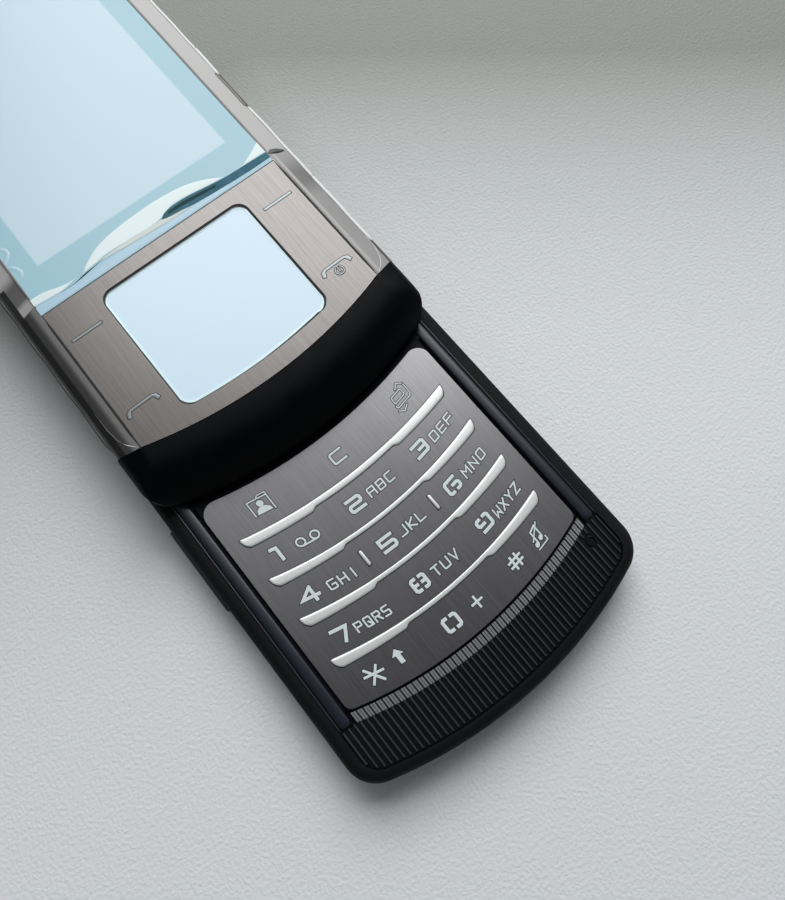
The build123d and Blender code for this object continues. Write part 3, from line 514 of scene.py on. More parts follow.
# Each key with its digit and the digit's place, its letters or sign and their place.
LABELS = (
    ("1", "1", (-15.15, 36.65), "message", (-10.8, 35.7)),
    ("2", "2", (-2.5, 35.4), "ABC", (2.1, 35.4)),
    ("3", "3", (9.9, 35.85), "DEF", (14.4, 36.4)),
    ("4", "4", (-15.4, 29.45), "GHI", (-10.4, 28.3)),
    ("5", "5", (-2.5, 28.15), "JKL", (1.9, 28.2)),
    ("6", "6", (10, 28.7), "MNO", (14.5, 29.3)),
    ("7", "7", (-15.2, 22.4), "PQRS", (-10.65, 21.4)),
    ("8", "8", (-2.55, 21), "TUV", (2, 20.9)),
    ("9", "9", (9.95, 21.65), "WXYZ", (14.55, 22.15)),
    ("star", "*", (-15, 15.55), "arrow", (-11, 15.4)),
    ("0", "0", (-2.6, 14.15), "+", (1.9, 14.1)),
    ("hash", "#", (9.75, 14.85), "silent", (14.4, 15.6)),
    ("contacts", "", (), "contact", (-13.05, 43.85)),
    ("clear", "", (), "C", (-0.15, 42.6)),
    ("tasks", "", (), "tasks", (12.75, 43.85)),
)


def stroke_line(stroke, size):
    """A stroke's points for a glyph of that size, and whether it is closed."""
    closed = len(stroke) > 3 and stroke[0].lower() == stroke[-1].lower()
    letters = stroke[:-1] if closed else stroke
    places = [divmod(ord(letter.lower()) - ord("a"), 5) for letter in letters]
    spots = [Vector((GRID_X[column] * size[0], GRID_Y[row] * size[1])) for row, column in places]
    line = []
    for n, (letter, spot) in enumerate(zip(letters, spots)):
        if letter.isupper():
            for other in (spots[n - 1], spots[(n + 1) % len(spots)]):
                line.append(spot + (other - spot).normalized() * CUT * min(size))
        else:
            line.append(spot)
    return line, closed


def level(x, height):
    return height + arc(x, ROW_RADIUS)


def placed(points, x, y):
    """Points moved to a place and sheared, so that level lines follow the row's arc."""
    return [(x + p[0], y + p[1] + arc(x + p[0], ROW_RADIUS) - arc(x, ROW_RADIUS)) for p in points]


def mark(shape, line, half, base, closed=False, cap=CAP):
    """One stroke of a marking: a light strip with a dark line round it."""
    edge_cap = (half * cap + EDGE_WIDTH) / (half + EDGE_WIDTH)
    strip(shape, line, half + EDGE_WIDTH, base, EDGE_RISE, 1, closed, edge_cap)
    strip(shape, line, half, base, MARK_RISE, 0, closed, cap)


def solid_mark(shape, outline, base):
    """A filled marking with a dark line round it."""
    strip(shape, outline, EDGE_WIDTH, base, EDGE_RISE, 1, True)
    shape.plate(outline, base - SUNK, base + MARK_RISE)


def glyph_lines(letter, size):
    """The strokes of a digit or letter, each with whether it is closed."""
    if letter in OWN_STROKES:
        return [([Vector((x * size[0], y * size[1])) for x, y in line], False)
                for line in OWN_STROKES[letter]]
    return [stroke_line(stroke, size) for stroke in STROKES[letter].split()]


def glyph(shape, letter, x, y, size, half, about=None):
    """Draws a digit or letter; about is the middle of its word, when it is part of one."""
    middle = x if about is None else about
    wide, tall = STRETCH.get(letter, (1.0, 1.0))
    cap = 0.0 if letter in SPLIT else CAP
    for n, (line, closed) in enumerate(glyph_lines(letter, (size[0] * wide, size[1] * tall))):
        line = placed([(p[0] + x - middle, p[1]) for p in line], middle, y)
        mark(shape, line, SLENDER.get(letter, half), KEY_TOP + LIFT * n, closed, cap)


def word(shape, text, x, y):
    pitch = LETTER_PITCH[len(text)]
    size = (LETTER_SIZE[0] * pitch / LETTER_PITCH[3], LETTER_SIZE[1])
    for n, letter in enumerate(text):
        glyph(shape, letter, x + (n - (len(text) - 1) / 2) * pitch, y, size, LETTER_HALF, x)


def ring_line(x, y, radius, count=20, span=None):
    """Points round a circle, or along the part of it between two angles."""
    angles = spread(*span, count) if span else spread(0.0, 2 * pi, count)[:-1]
    return [(x + radius * cos(angle), y + radius * sin(angle)) for angle in angles]


FILLED = 0.0
THIN_SIGN = 0.18
TASK_LINE = 0.09
GLYPH_SIGNS = {"+": (1.64, 1.64), "C": (1.95, 1.7)}
# Signs: points, half width of the line, how many lifts up it lies (0), whether it closes (no).
SIGNS = {
    # Two loops joined by a bar.
    "message": (
        (ring_line(-1.1, 0.12, 0.62), 0.14, 0, True), (ring_line(1.1, 0.12, 0.62), 0.14, 0, True),
        (((-1.1, -0.52), (1.1, -0.52)), 0.14, 1)),
    "arrow": (
        (((0, 1.12), (0.85, 0.15), (0.34, 0.15), (0.34, -1.1), (-0.34, -1.1), (-0.34, 0.15),
          (-0.85, 0.15)), FILLED),),
    # A note with a stroke through it.
    "silent": (
        (((-0.45, -0.8), (-0.45, 1), (0.6, 1.25), (0.6, -0.5)), 0.13),
        (ring_line(-0.75, -0.85, 0.36, 12), FILLED, 1),
        (ring_line(0.3, -0.55, 0.36, 12), FILLED, 1),
        (((-0.95, -0.15), (1.15, 1.35)), 0.1, 2),
        (((-1, -1.5), (0.95, -1.5), (0.95, -0.9)), 0.1)),
    # A card with a head and shoulders on it.
    "contact": (
        (((-1.55, -1.3), (-1.55, 1.15), (1.45, 1.15), (1.45, -1.3)), 0.11),
        (((0, 1.25), (0.25, 1.6), (1.45, 1.6), (1.45, 1.2)), 0.1, 1),
        (((-1.15, -1.25), (-0.95, -0.6), (-0.35, -0.2), (0.35, -0.2), (0.95, -0.6), (1.15, -1.25)),
         FILLED),
        (ring_line(0, 0.32, 0.52, 14), FILLED, 1)),
    # A card, a line round it and the tips of two turning arrows.
    "tasks": (
        (((-1.25, -0.15), (-1.25, 0.75), (-1.05, 0.95), (0.6, 0.95), (0.8, 0.75), (0.8, 0.05),
          (0.6, -0.15)), TASK_LINE, 0, True),
        (((-1.4, -0.5), (-1.4, -0.75), (-1.2, -0.95), (1.3, -0.95), (1.6, -0.65), (1.6, 1)),
         TASK_LINE, 1),
        (((0.1, 1.4), (0.8, 1.95), (1.55, 1.3)), TASK_LINE, 2),
        (((-1.5, -1.35), (-0.8, -1.95), (0.05, -1.5)), TASK_LINE)),
}


def sign_line(shape, x, y, points, half, lifts=0, closed=False):
    line = placed(points, x, y)
    base = KEY_TOP + LIFT * lifts
    if half == FILLED:
        solid_mark(shape, line, base)
    else:
        mark(shape, line, half, base, closed)


def key_markings():
    """Digits, letters and signs, each riding on its own key."""
    for key, digit, place, text, text_place in LABELS:
        shape = Shape()
        if digit:
            glyph(shape, digit, *place, DIGIT_SIZE, DIGIT_HALF)
        if text in SIGNS:
            for values in SIGNS[text]:
                sign_line(shape, *text_place, *values)
        elif text in GLYPH_SIGNS:
            glyph(shape, text, *text_place, GLYPH_SIGNS[text], THIN_SIGN)
        else:
            word(shape, text, *text_place)
        piece("marking_key_" + key, "key_" + key, shape, MARKING)


NAV_LINE = 0.19
BAR_MARK = ((-2.3, 0.0), (2.3, 0.0))
HANDSET = ((-2.35, -0.7), (-2.3, -0.25), (-1.75, 0.0), (1.75, 0.0), (2.3, -0.25), (2.35, -0.7))
EAR = ((2.36, -0.72), (2.22, -0.42))
EAR_HALF = 0.27
POWER_DROP = 1.35  # of the power sign below the handset
POWER_LINE = 0.09
POWER_RING, POWER_GAP = 0.68, (2.1, 7.3)
POWER_STEM = (-0.15, 0.5)
NAV_PLACES = (("soft_key_left", -17.2, 78.65, BAR_MARK), ("soft_key_right", 17.1, 78.65, BAR_MARK),
              ("send_key", -17.3, 64.6, HANDSET), ("end_key", 17.1, 64.65, HANDSET))


def nav_markings():
    """Lines and handsets on the four keys beside the touch pad, and a power sign on one."""
    for key, x, y, points in NAV_PLACES:
        shape = Shape()
        mark(shape, [(x + p[0], y + p[1]) for p in points], NAV_LINE, NAV_TOP)
        if points is HANDSET:
            for side in (-1, 1):
                ear = [(x + side * p[0], y + p[1]) for p in EAR]
                mark(shape, ear, EAR_HALF, NAV_TOP + 2 * LIFT)
        if key == "end_key":
            low = y - POWER_DROP
            mark(shape, ring_line(x, low, POWER_RING, 16, POWER_GAP), POWER_LINE, NAV_TOP)
            mark(shape, [(x, low + end) for end in POWER_STEM], POWER_LINE, NAV_TOP + LIFT)
        piece("marking_" + key, key, shape, NAV_MARKING)


# ---- bars, trim and ribs

BAR_LEVELS = (39.05, 32.1, 25.15, 18.2)
TOP_BAR_LEVEL, TOP_BAR_RADIUS = 39.38, 76.0  # upper edge of the bar under the C key
BAR_HALF = 18.55
BAR_TIP = 1.15  # at each end the lower edge curves up over this length
TIP_STEPS = (15, 28, 40, 50, 59, 67, 74, 80, 85, 88.5)  # degrees round that curve
BAR_THIN, BAR_THICK = 0.72, 1.1
BAR_FOOT_RADIUS = 85.0
BAR_STEP = (7.0, 8.0)
BAR_END = 0.3
BAR_RISE = 0.24
BAR_LINE, LINE_RISE = 0.1, 0.02
SHORT_X, SHORT_LOW, SHORT_HIGH, SHORT_HALF = 6.3, 27.25, 29.85, 0.27
SHORT_STEPS = (5, 30, 55, 75, 90)  # degrees round a short bar's end
SLOT_GAP = 0.05
SLOT_FOOT, SLOT_END = 18.3, 18.6
WEDGE_SPAN = (17.9, 18.52)
SEAM_HALF = 0.023
SEAM_DEPTH = 0.3
FLUSH = 0.004
WEB = ((1, -SEAM_DEPTH), (1, -FLUSH), (-1, -FLUSH), (-1, -SEAM_DEPTH))


def smooth(value, low, high):
    """Rises from 0 to 1 between low and high."""
    t = min(1.0, max(0.0, (value - low) / (high - low)))
    return t * t * (3 - 2 * t)


def bar_section(x, top_level, grow=0.0):
    """A bar's lower and upper edge at x."""
    high = level(x, top_level)
    thin = high - BAR_THIN
    thick = top_level - BAR_THICK + arc(x, BAR_FOOT_RADIUS)
    share = smooth(abs(x), *BAR_STEP)
    if top_level == BAR_LEVELS[0]:
        high = max(high, TOP_BAR_LEVEL + arc(x, TOP_BAR_RADIUS))
    low = thin * (1 - share) + thick * share
    over = max(0.0, abs(x) - BAR_HALF - grow + BAR_TIP) / BAR_TIP
    return high - (high - low) * circle(over), high


def domed(shape, sections, rise, edge, tone=0, profile=flat_dome, base=KEY_TOP):
    """A domed strip over sections of (x, low y, high y, share of the full size)."""
    rings = []
    for x, low, high, share in sections:
        middle, half = (low + high) / 2, (high - low) / 2 + edge
        rings.append(hoop(x, middle, (0, half * share), base, rise * share, profile))
    shape.tube(rings, tone)


def bar_sections(top_level, grow):
    """Where a long bar is cut, from one rounded end to the other."""
    half = BAR_HALF + grow
    straight = half - BAR_TIP
    tips = [straight + BAR_TIP * sin(radians(angle)) for angle in TIP_STEPS]
    sections = []
    for x in [-x for x in reversed(tips)] + spread(-straight, straight, 110) + tips:
        over = max(0.0, abs(x) - half + BAR_END) / BAR_END
        sections.append((x, *bar_section(x, top_level, grow), circle(over)))
    return sections


def short_bar(shape, x):
    """A short upright bar with round ends."""
    bends = [SHORT_HALF - SHORT_HALF * cos(radians(angle)) for angle in SHORT_STEPS]
    rings = []
    for y in [SHORT_LOW + bend for bend in bends] + [SHORT_HIGH - bend for bend in reversed(bends)]:
        over = max(0.0, SHORT_LOW + SHORT_HALF - y, y - SHORT_HIGH + SHORT_HALF)
        share = circle(over / SHORT_HALF)
        rings.append(hoop(x, y, (SHORT_HALF * share, 0), KEY_TOP, BAR_RISE * share, flat_dome))
    shape.tube(rings)


def bars():
    """Four long bars and two short ones, domed, each in a thin dark line."""
    shape = Shape()
    for top_level in BAR_LEVELS:
        domed(shape, bar_sections(top_level, BAR_LINE), LINE_RISE, BAR_LINE, 1)
        domed(shape, bar_sections(top_level, 0.0), BAR_RISE, 0.0, 0, bar_dome)
    for side in (-1, 1):
        x = side * SHORT_X
        line = [(x, SHORT_LOW + 0.3), (x, SHORT_HIGH - 0.3)]
        strip(shape, line, SHORT_HALF + 0.11, KEY_TOP, LINE_RISE, 1)
        short_bar(shape, x)
    finishes = ("polished_bar", "gap_and_shade_black")
    piece("row_bars", "lower_half", shape, finishes, crease=60, replaces=("key_bars",))


def bar_corners():
    """Small wedges of the keypad's metal that close the slots round the bars' curved ends."""
    shape = Shape()
    for top_level in BAR_LEVELS:
        foot_level = top_level - BAR_THICK - SLOT_GAP
        xs = spread(*WEDGE_SPAN, 8)
        foot = [(x, foot_level + arc(x, BAR_FOOT_RADIUS)) for x in (xs[0], SLOT_FOOT)]
        corner = (SLOT_END, level(SLOT_END, top_level))
        along = [(x, bar_section(x, top_level)[0] - BAR_LINE) for x in reversed(xs)]
        for side in (-1, 1):
            outline = [(side * x, y) for x, y in foot + [corner] + along]
            shape.plate(outline, KEY_TOP - SEAM_DEPTH, KEY_TOP - FLUSH)
    piece("bar_corners", "lower_half", shape, ("brushed_key",))


TRIM_LOW, TRIM_HIGH = 9.0, 10.55
TRIM_RADIUS = 66.0
TRIM_HALF = 21.1
TRIM_CHAMFER = 0.12
# One rib of the trim: places along it, and heights as shares of the full height.
TRIM_RIB = ((-0.32, 1), (-0.04, 1), (-0.03, 0.8), (0.03, 0.8), (0.04, 1), (0.32, 1),
            (0.33, 0.3), (0.55, 0.3))
RIB_PITCH = 0.88
GRIP_BASE, RIB_TOP = 6.3, 6.8


def trim():
    """The bright strip round the keypad's lower edge, cut by fine dark lines."""
    shape = Shape()
    lines = int(TRIM_HALF / RIB_PITCH)
    rings = []
    for n in range(-lines, lines + 1):
        for place, height in TRIM_RIB:
            x = n * RIB_PITCH + place
            bend = arc(min(abs(x), TRIM_HALF), TRIM_RADIUS)
            low, high = TRIM_LOW + bend, TRIM_HIGH + bend
            top = GRIP_BASE + (RIB_TOP - GRIP_BASE) * height
            side = top - TRIM_CHAMFER
            rings.append([(x, low, GRIP_BASE), (x, low, side), (x, low + TRIM_CHAMFER, top),
                          (x, high - TRIM_CHAMFER, top), (x, high, side), (x, high, GRIP_BASE)])
    shape.tube(rings)
    for n, face in enumerate(shape.faces):
        if len(face) == 4 and max(shape.points[i][2] for i in face) < RIB_TOP - SUNK:
            shape.tones[n] = 1
    finishes = ("bright_trim", "gap_and_shade_black")
    piece("keypad_trim", "lower_half", shape, finishes, crease=30, replaces=("ribbed_trim",))


GRIP_HALF = 23.15
GRIP_LOW = 2.35
GRIP_CORNER = 3.1
END_RADIUS = 69.3
FLOOR_THICK = 0.2  # the floor between the ribs
RIB_HALF, RIB_RISE, RIB_FOOT = 0.2, 0.3, 0.1
RIB_START = ((0.0, 0.35), (0.12, 0.8), (0.3, 1.0))  # a rib's rounded lower end
# Faces of a rib's section that carry the painted highlight along its crest.
CREST_FACES = (3, 4, 5, 6)  # of a rib's section, counted from one foot
MIC_X, MIC_Y = 19.9, 10.2
MIC_HOLE, MIC_RING = 0.6, 0.8
MIC_COUNT = 28
# The microphone's boss and hole: radius and height above the grip's base.
MIC_RINGS = ((MIC_RING, 0.1), (MIC_RING - 0.1, 0.4), (MIC_HOLE + 0.03, 0.44), (MIC_HOLE, 0.4),
             (MIC_HOLE, 0.1))


def end_line(x, start, half, corner):
    """An end of the phone at x: an arc of END_RADIUS with round corners, from start on."""
    x = abs(x)
    side, inner = half - corner, END_RADIUS - corner
    if x < side * END_RADIUS / inner:
        return start + arc(x, END_RADIUS)
    return start + END_RADIUS - circle(side, inner) - circle(x - side, corner)


def grip_edge(x):
    return end_line(x, GRIP_LOW, GRIP_HALF, GRIP_CORNER)


def rib(shape, x, low, high):
    """A half-round rib along the phone; its crest is lighter, a painted highlight."""
    first = len(shape.faces)
    rings = []
    for y, share in [(low + step, share) for step, share in RIB_START] + [(high, 1.0)]:
        rings.append(hoop(x, y, (RIB_HALF, 0), GRIP_BASE + FLOOR_THICK, RIB_RISE * share,
                          sunk=FLOOR_THICK - RIB_FOOT))
    shape.tube(rings)
    # Painted highlight on the crest faces.
    for run in range(1, len(rings) - 1):
        for n in CREST_FACES:
            shape.tones[first + run * len(DOME) + n] = 2


def grip():
    """The black ribbed end, with the microphone's hole in a small boss."""
    shape = Shape()
    xs = spread(-GRIP_HALF, GRIP_HALF, 96)
    top = [(x, TRIM_LOW - 0.05 + arc(x, TRIM_RADIUS)) for x in xs]
    outline = [(x, grip_edge(x * 0.99999)) for x in xs] + top[::-1]
    shape.plate(outline, GRIP_BASE, GRIP_BASE + FLOOR_THICK)
    count = int(GRIP_HALF / RIB_PITCH)
    for n in range(-count, count + 1):
        x = n * RIB_PITCH
        low = grip_edge(x) + 0.08
        high = TRIM_LOW - 0.02 + arc(min(abs(x), TRIM_HALF), TRIM_RADIUS)
        room = circle(x - MIC_X, MIC_RING + RIB_HALF)
        if room:
            rib(shape, x, low, MIC_Y - room)
            rib(shape, x, MIC_Y + room, high)
        else:
            rib(shape, x, low, high)
    first = len(shape.faces)
    shape.tube([[(x, y, GRIP_BASE + height) for x, y in ring_line(MIC_X, MIC_Y, radius, MIC_COUNT)]
                for radius, height in MIC_RINGS])
    shape.tones[-1] = 1
    for n in range(first + MIC_COUNT * 3, first + MIC_COUNT * 4):
        shape.tones[n] = 1
    finishes = ("ribbed_black", "gap_and_shade_black", "rib_crest_highlight")
    piece("ribbed_end", "lower_half", shape, finishes, crease=50, replaces=("ribbed_grip",))


RAIL_LOW, RAIL_HIGH = 12.75, 100.0
RAIL_BEND = 0.6
# Inner and outer distance and height of the ridge beside the keys, and of the ledge outside it.
RIDGES = ((21.2, 22.75, 0.22), (22.95, 23.2, 0.08))
# A ridge's sections: how far they lie round its rounded end, and their shares of its size.
RAIL_STARTS = ((15, 20), (40, 45), (65, 68), (90, 90))
RAIL_STEPS = (30.0, 60.0, RAIL_HIGH)


def rails():
    """A glossy ridge beside the keys and a fine ledge at the soft rim, on both sides."""
    shape = Shape()
    sections = [(RAIL_LOW + RAIL_BEND * (1 - cos(radians(place))), sin(radians(size)))
                for place, size in RAIL_STARTS] + [(y, 1.0) for y in RAIL_STEPS]
    for side in (-1, 1):
        for inner, outer, rise in RIDGES:
            middle, half = side * (inner + outer) / 2, (outer - inner) / 2
            shape.tube([hoop(middle, y, (half * share, 0), KEY_TOP, rise * share)
                        for y, share in sections])
    piece("rail_ridges", "lower_half", shape, ("ridge_black",), 60)


KEY_COLUMN, KEY_LOW, KEY_HIGH = 6.3, 11.4, 46.5
KEY_SIDE = 20.6
NAV_COLUMN = (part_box("nav_plate")[1].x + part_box("soft_key_right")[0].x) / 2 / MM
NAV_SPLIT = (drawn(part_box("send_key")[1].y) + drawn(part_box("soft_key_left")[0].y)) / 2
NAV_LOW, NAV_HIGH, NAV_SIDE = 57.8, 84.8, 20.9


def web(shape, line, base):
    """A hair-thin web in the seam between two keys, level with them."""
    strip(shape, line, SEAM_HALF, base, 1.0, cap=0.0, section=WEB)


def seams():
    """The face of the keypad is one flexing sheet: its webs between the keys."""
    keys, nav = Shape(), Shape()
    for side in (-1, 1):
        web(keys, [(side * KEY_COLUMN, KEY_LOW), (side * KEY_COLUMN, KEY_HIGH)], KEY_TOP)
        for top_level in BAR_LEVELS:
            xs = spread(BAR_HALF - 0.3, KEY_SIDE - 0.2, 6)
            web(keys, [(side * x, level(x, top_level) + SEAM_HALF) for x in xs], KEY_TOP)
        web(nav, [(side * NAV_COLUMN, NAV_LOW), (side * NAV_COLUMN, NAV_HIGH)], NAV_TOP)
        web(nav, [(side * NAV_COLUMN, NAV_SPLIT), (side * NAV_SIDE, NAV_SPLIT)], NAV_TOP)
    piece("key_webs", "lower_half", keys, ("brushed_key",))
    piece("nav_webs", "upper_half", nav, ("brushed_nav",))


# ---- chin

OPEN = 46.5  # how far the upper half stands out
UPPER_HALF_WIDTH = 24.95
UPPER_START = 0.7 + OPEN
CHIN_TOP = 9.6 + OPEN
CHIN_RADIUS = 72.0
CHIN_CORNER = 4.75
CHIN_SLOPE, CHIN_FALL, CHIN_BEND = 9.9, 4.25, 4.05
SIDE_SLOPE, SIDE_FALL, SIDE_BEND = 3.9, 1.5, 1.25
SIDE_ROUND = 1.3
BLEND = 2.4  # how softly the front's fall and the side's meet
TOP_Z, UNDER_Z = 12.7, 7.47
CHIN_SKIRT = ((UNDER_Z + 0.55, 0.0), (UNDER_Z + 0.2, 0.1), (UNDER_Z, 0.4))  # heights, insets
CHIN_COLUMNS, CHIN_ROWS = 120, 30


def chin_height(x, y):
    """The chin's surface, which falls towards the front arc and the sides."""
    front = max(0.0, END_RADIUS - hypot(x, y - UPPER_START - END_RADIUS))
    side = max(0.0, UPPER_HALF_WIDTH - abs(x))
    fall = CHIN_FALL * max(0.0, 1 - front / CHIN_SLOPE) ** CHIN_BEND
    slant = SIDE_FALL * max(0.0, 1 - side / SIDE_SLOPE) ** SIDE_BEND
    slant += arc(max(0.0, SIDE_ROUND - side), SIDE_ROUND)
    return TOP_Z - (fall ** BLEND + slant ** BLEND) ** (1 / BLEND)


def chin():
    """The black chin, one soft curve from the metal plate down to its front edge."""
    shape = Shape()
    grid = []
    for i in range(CHIN_COLUMNS + 1):
        x = UPPER_HALF_WIDTH * sin(pi * (i / CHIN_COLUMNS - 0.5))
        low = end_line(x, UPPER_START, UPPER_HALF_WIDTH, CHIN_CORNER)
        high = CHIN_TOP + arc(x, CHIN_RADIUS) - 0.03
        line = [low + (high - low) * (j / CHIN_ROWS) ** 1.4 for j in range(CHIN_ROWS + 1)]
        grid.append(shape.add([(x, y, chin_height(x, y)) for y in line]))
    for first, second in zip(grid, grid[1:]):
        for j in range(CHIN_ROWS):
            shape.face([first[j], second[j], second[j + 1], first[j + 1]])
    border = [column[0] for column in grid] + grid[-1][1:] \
        + [column[-1] for column in grid[-2::-1]] + grid[0][-2:0:-1]
    ring = border
    for z, inset in CHIN_SKIRT:
        lowered = []
        for index in border:
            x, y, top = shape.points[index]
            away = Vector((x, y - CHIN_TOP)).normalized() * inset
            lowered.append((x - away.x, y - away.y, min(z, top - 0.05)))
        following = shape.add(lowered)
        shape.skin(ring, following)
        ring = following
    shape.face(ring[::-1])
    piece("chin", "upper_half", shape, ("chin_black",), crease=42, replaces=("chin_cap",))


# ---- touch pad

PAD_LOW_CORNER, PAD_HIGH_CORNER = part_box("touch_pad_lens")
PAD_SEAM = 0.05
PAD_HALF = PAD_HIGH_CORNER.x / MM + PAD_SEAM
PAD_LOW = drawn(PAD_LOW_CORNER.y) - PAD_SEAM  # at the middle of the arc
PAD_HIGH = drawn(PAD_HIGH_CORNER.y) + PAD_SEAM
PAD_CORNER = 2.0
PAD_FOOT_RADIUS = 82.0


def pad_outline(inset):
    """The touch pad's outline: round corners, and a lower edge that is bent along an arc."""
    half, low, high = PAD_HALF - inset, PAD_LOW + inset, PAD_HIGH - inset
    corner = PAD_CORNER - min(inset, 1.0)
    line = []
    for side, y, start in ((1, high - corner, 0), (-1, high - corner, 90),
                           (-1, low + corner, 180), (1, low + corner, 270)):
        if start == 270:
            flat = half - PAD_CORNER - 0.3
            line += [(x, low + arc(x, PAD_FOOT_RADIUS)) for x in spread(-flat, flat, 24)]
        for angle in spread(start, start + 90, 8):
            x = side * (half - corner) + corner * cos(radians(angle))
            bend = arc(x, PAD_FOOT_RADIUS) if start >= 180 else 0.0
            line.append((x, y + corner * sin(radians(angle)) + bend))
    return line


# What lies round the pad: the edges it runs between, counted outwards in, and its two heights.
RIM = ((0, 1, 0.1, 0.012), (1, 2, 0.011, 0.004), (3, 4, 0.05, 0.05))


def shaded_rim_edges(outward):
    """How far in the rim's edges lie; the dark seam is widened by painted shade above and at the
    right, and the bright bead is a painted highlight, widest below and at the left.
    """
    up, down, right = max(0.0, outward.y), max(0.0, -outward.y), max(0.0, outward.x)
    seam = 0.12 + 0.24 * up + 0.22 * right
    bead = seam + 0.2 * up + 0.06
    return -0.02, seam, bead - 0.02, bead, bead + 0.1 + 0.2 * down + 0.1 * max(0.0, -outward.x)


def pad_rim():
    """A dark seam, its soft edge and a clear bead round the touch pad; the seam is a real gap
    widened by painted shade, and the bead a painted highlight.
    """
    shape = Shape()
    for tone, (first, second, outer_rise, inner_rise) in enumerate(RIM):
        rings = []
        for start, end in zip(pad_outline(0.0), pad_outline(1.0)):
            inward = Vector(end) - Vector(start)
            edges = shaded_rim_edges(-inward.normalized())
            outer, inner = (Vector(start) + inward * edges[n] for n in (first, second))
            rings.append([(*outer, PAD_TOP - SUNK), (*outer, PAD_TOP + outer_rise),
                          (*inner, PAD_TOP + inner_rise), (*inner, PAD_TOP - SUNK)])
        shape.tube(rings, tone, True)
    piece("pad_rim", "upper_half", shape, ("gap_and_shade_black", "rim_grey", "pad_bead_glint"))


# ---- protective films

FILM_RISE = 0.035
FILM_TONES = ("film_white_glint", "film_beige", "film_teal", "film_blue", "film_deep")
WHITE_GLINT, BEIGE, TEAL, BLUE, DEEP = range(5)
# Patches of loose film on the display: tone, then upper and lower edge as (x, y) points. The white
# patches are painted highlights where the lifted film catches light, and the dark teal and deep
# ones painted shade in its folds.
PATCHES = (
    (BLUE, ((-21, 86.5), (-16, 86.2), (-8, 86.55), (0, 86.2), (7, 85.95), (13, 85.75)),
     ((-21, 85), (13, 85))),
    (BEIGE, ((-9, 87.3), (-4, 87.3), (0, 87.1), (3, 87.1), (7, 86.4)),
     ((-9, 86.9), (-4, 86.5), (0, 86.25), (3, 86.1), (7, 86.1))),
    (WHITE_GLINT, ((-12.8, 86.85), (-11, 88.15), (-8.5, 89.4), (-5, 90.15), (-1, 90.45),
             (3, 90.45), (7, 90), (9.5, 89.25), (11.5, 88.25), (13.6, 87.1)),
     ((-12.8, 86.85), (-10, 87.2), (-8, 87.45), (-4, 87.25), (0, 87.05), (2.2, 87.5),
      (4, 88.15), (7, 88.05), (10, 87.6), (13.6, 87.1))),
    (WHITE_GLINT, ((15.6, 86.95), (17.5, 87.5), (19.3, 88.3), (20.85, 89.2)),
     ((15.6, 86.9), (17.5, 86.95), (19.3, 86.9), (20.85, 86.85))),
    (WHITE_GLINT, ((-21, 88.1), (-19, 88), (-17.5, 87.6), (-16, 87.15), (-13, 87)),
     ((-21, 86.8), (-18, 86.5), (-16.5, 86.4), (-14.5, 86.7), (-13, 86.9))),
    (TEAL, ((1.3, 87), (2.4, 87.75), (4, 88.1), (7, 88), (10, 87.55), (13, 87.15),
            (17, 86.95), (20.9, 86.8)),
     ((1.3, 87), (3, 86.6), (6, 86.25), (9, 86), (13, 85.75), (17, 85.6),
      (20.9, 85.6))),
    (DEEP, ((2.2, 87.3), (3.2, 87.75), (5, 87.85), (8, 87.6), (11, 87.1), (14, 86.75)),
     ((2.2, 87.1), (4, 86.95), (6.5, 86.75), (9.5, 86.5), (12, 86.4), (14, 86.6))),
    (DEEP, ((-16.8, 86.35), (-14.5, 86.4), (-12.5, 86.8), (-10.5, 87), (-8.6, 87.1)),
     ((-16.8, 86.3), (-14.5, 86.2), (-12.5, 86.4), (-10.5, 86.75), (-8.6, 87.05))),
)
CURL_HALF, CURL_FLAT = 0.36, 0.12
EDGE_CURLS = (
    ((-20.55, 98.5), (-19.95, 98.1), (-19.5, 97.4), (-19.6, 96.7), (-20.2, 96.1), (-20.75, 95.4)),
    ((-20.8, 94.9), (-20.3, 94.4), (-19.75, 93.6), (-19.6, 92.9), (-19.9, 92.2), (-20.6, 91.9)))


def curve(points, x):
    """A smooth line through points, at x."""
    last = len(points) - 1
    n = min(last - 1, max(0, sum(1 for point in points if point[0] <= x) - 1))
    (x0, y0), (x1, y1) = points[n], points[n + 1]
    before, after = points[max(0, n - 1)], points[min(last, n + 2)]
    start = (y1 - before[1]) / (x1 - before[0])
    end = (after[1] - y0) / (after[0] - x0)
    t = min(1.0, max(0.0, (x - x0) / (x1 - x0)))
    swing = (x1 - x0) * t * (t - 1) * (start * (t - 1) + end * t)
    return y0 + (y1 - y0) * smooth(x, x0, x1) + swing


def patch(shape, upper, lower, base, tone):
    """A thin domed patch between an upper and a lower edge."""
    sections = []
    for x in spread(upper[0][0], upper[-1][0], 60):
        high, low = curve(upper, x), curve(lower, x)
        low = min(low, high - 0.02)
        sections.append((x, low, high, min(1.0, (high - low) / 0.7)))
    domed(shape, sections, FILM_RISE, 0.0, tone, base=base)


def cord(shape, points, radius, tone=0, flat=1.0):
    """A thin round cord through (x, y, z) points, tapered at both ends; flat squeezes it in Z."""
    rings = []
    spots = [Vector(point) for point in points]
    for n, spot in enumerate(spots):
        run = (spots[min(n + 1, len(spots) - 1)] - spots[max(n - 1, 0)]).normalized()
        side = run.cross(Vector((0, 0, 1))).normalized()
        up = side.cross(run)
        size = radius * (0.3 if n in (0, len(spots) - 1) else 1.0)
        rings.append([tuple(spot + (side * cos(a) + up * sin(a) * flat) * size)
                      for a in (radians(30 * k) for k in range(12))])
    shape.tube(rings, tone)


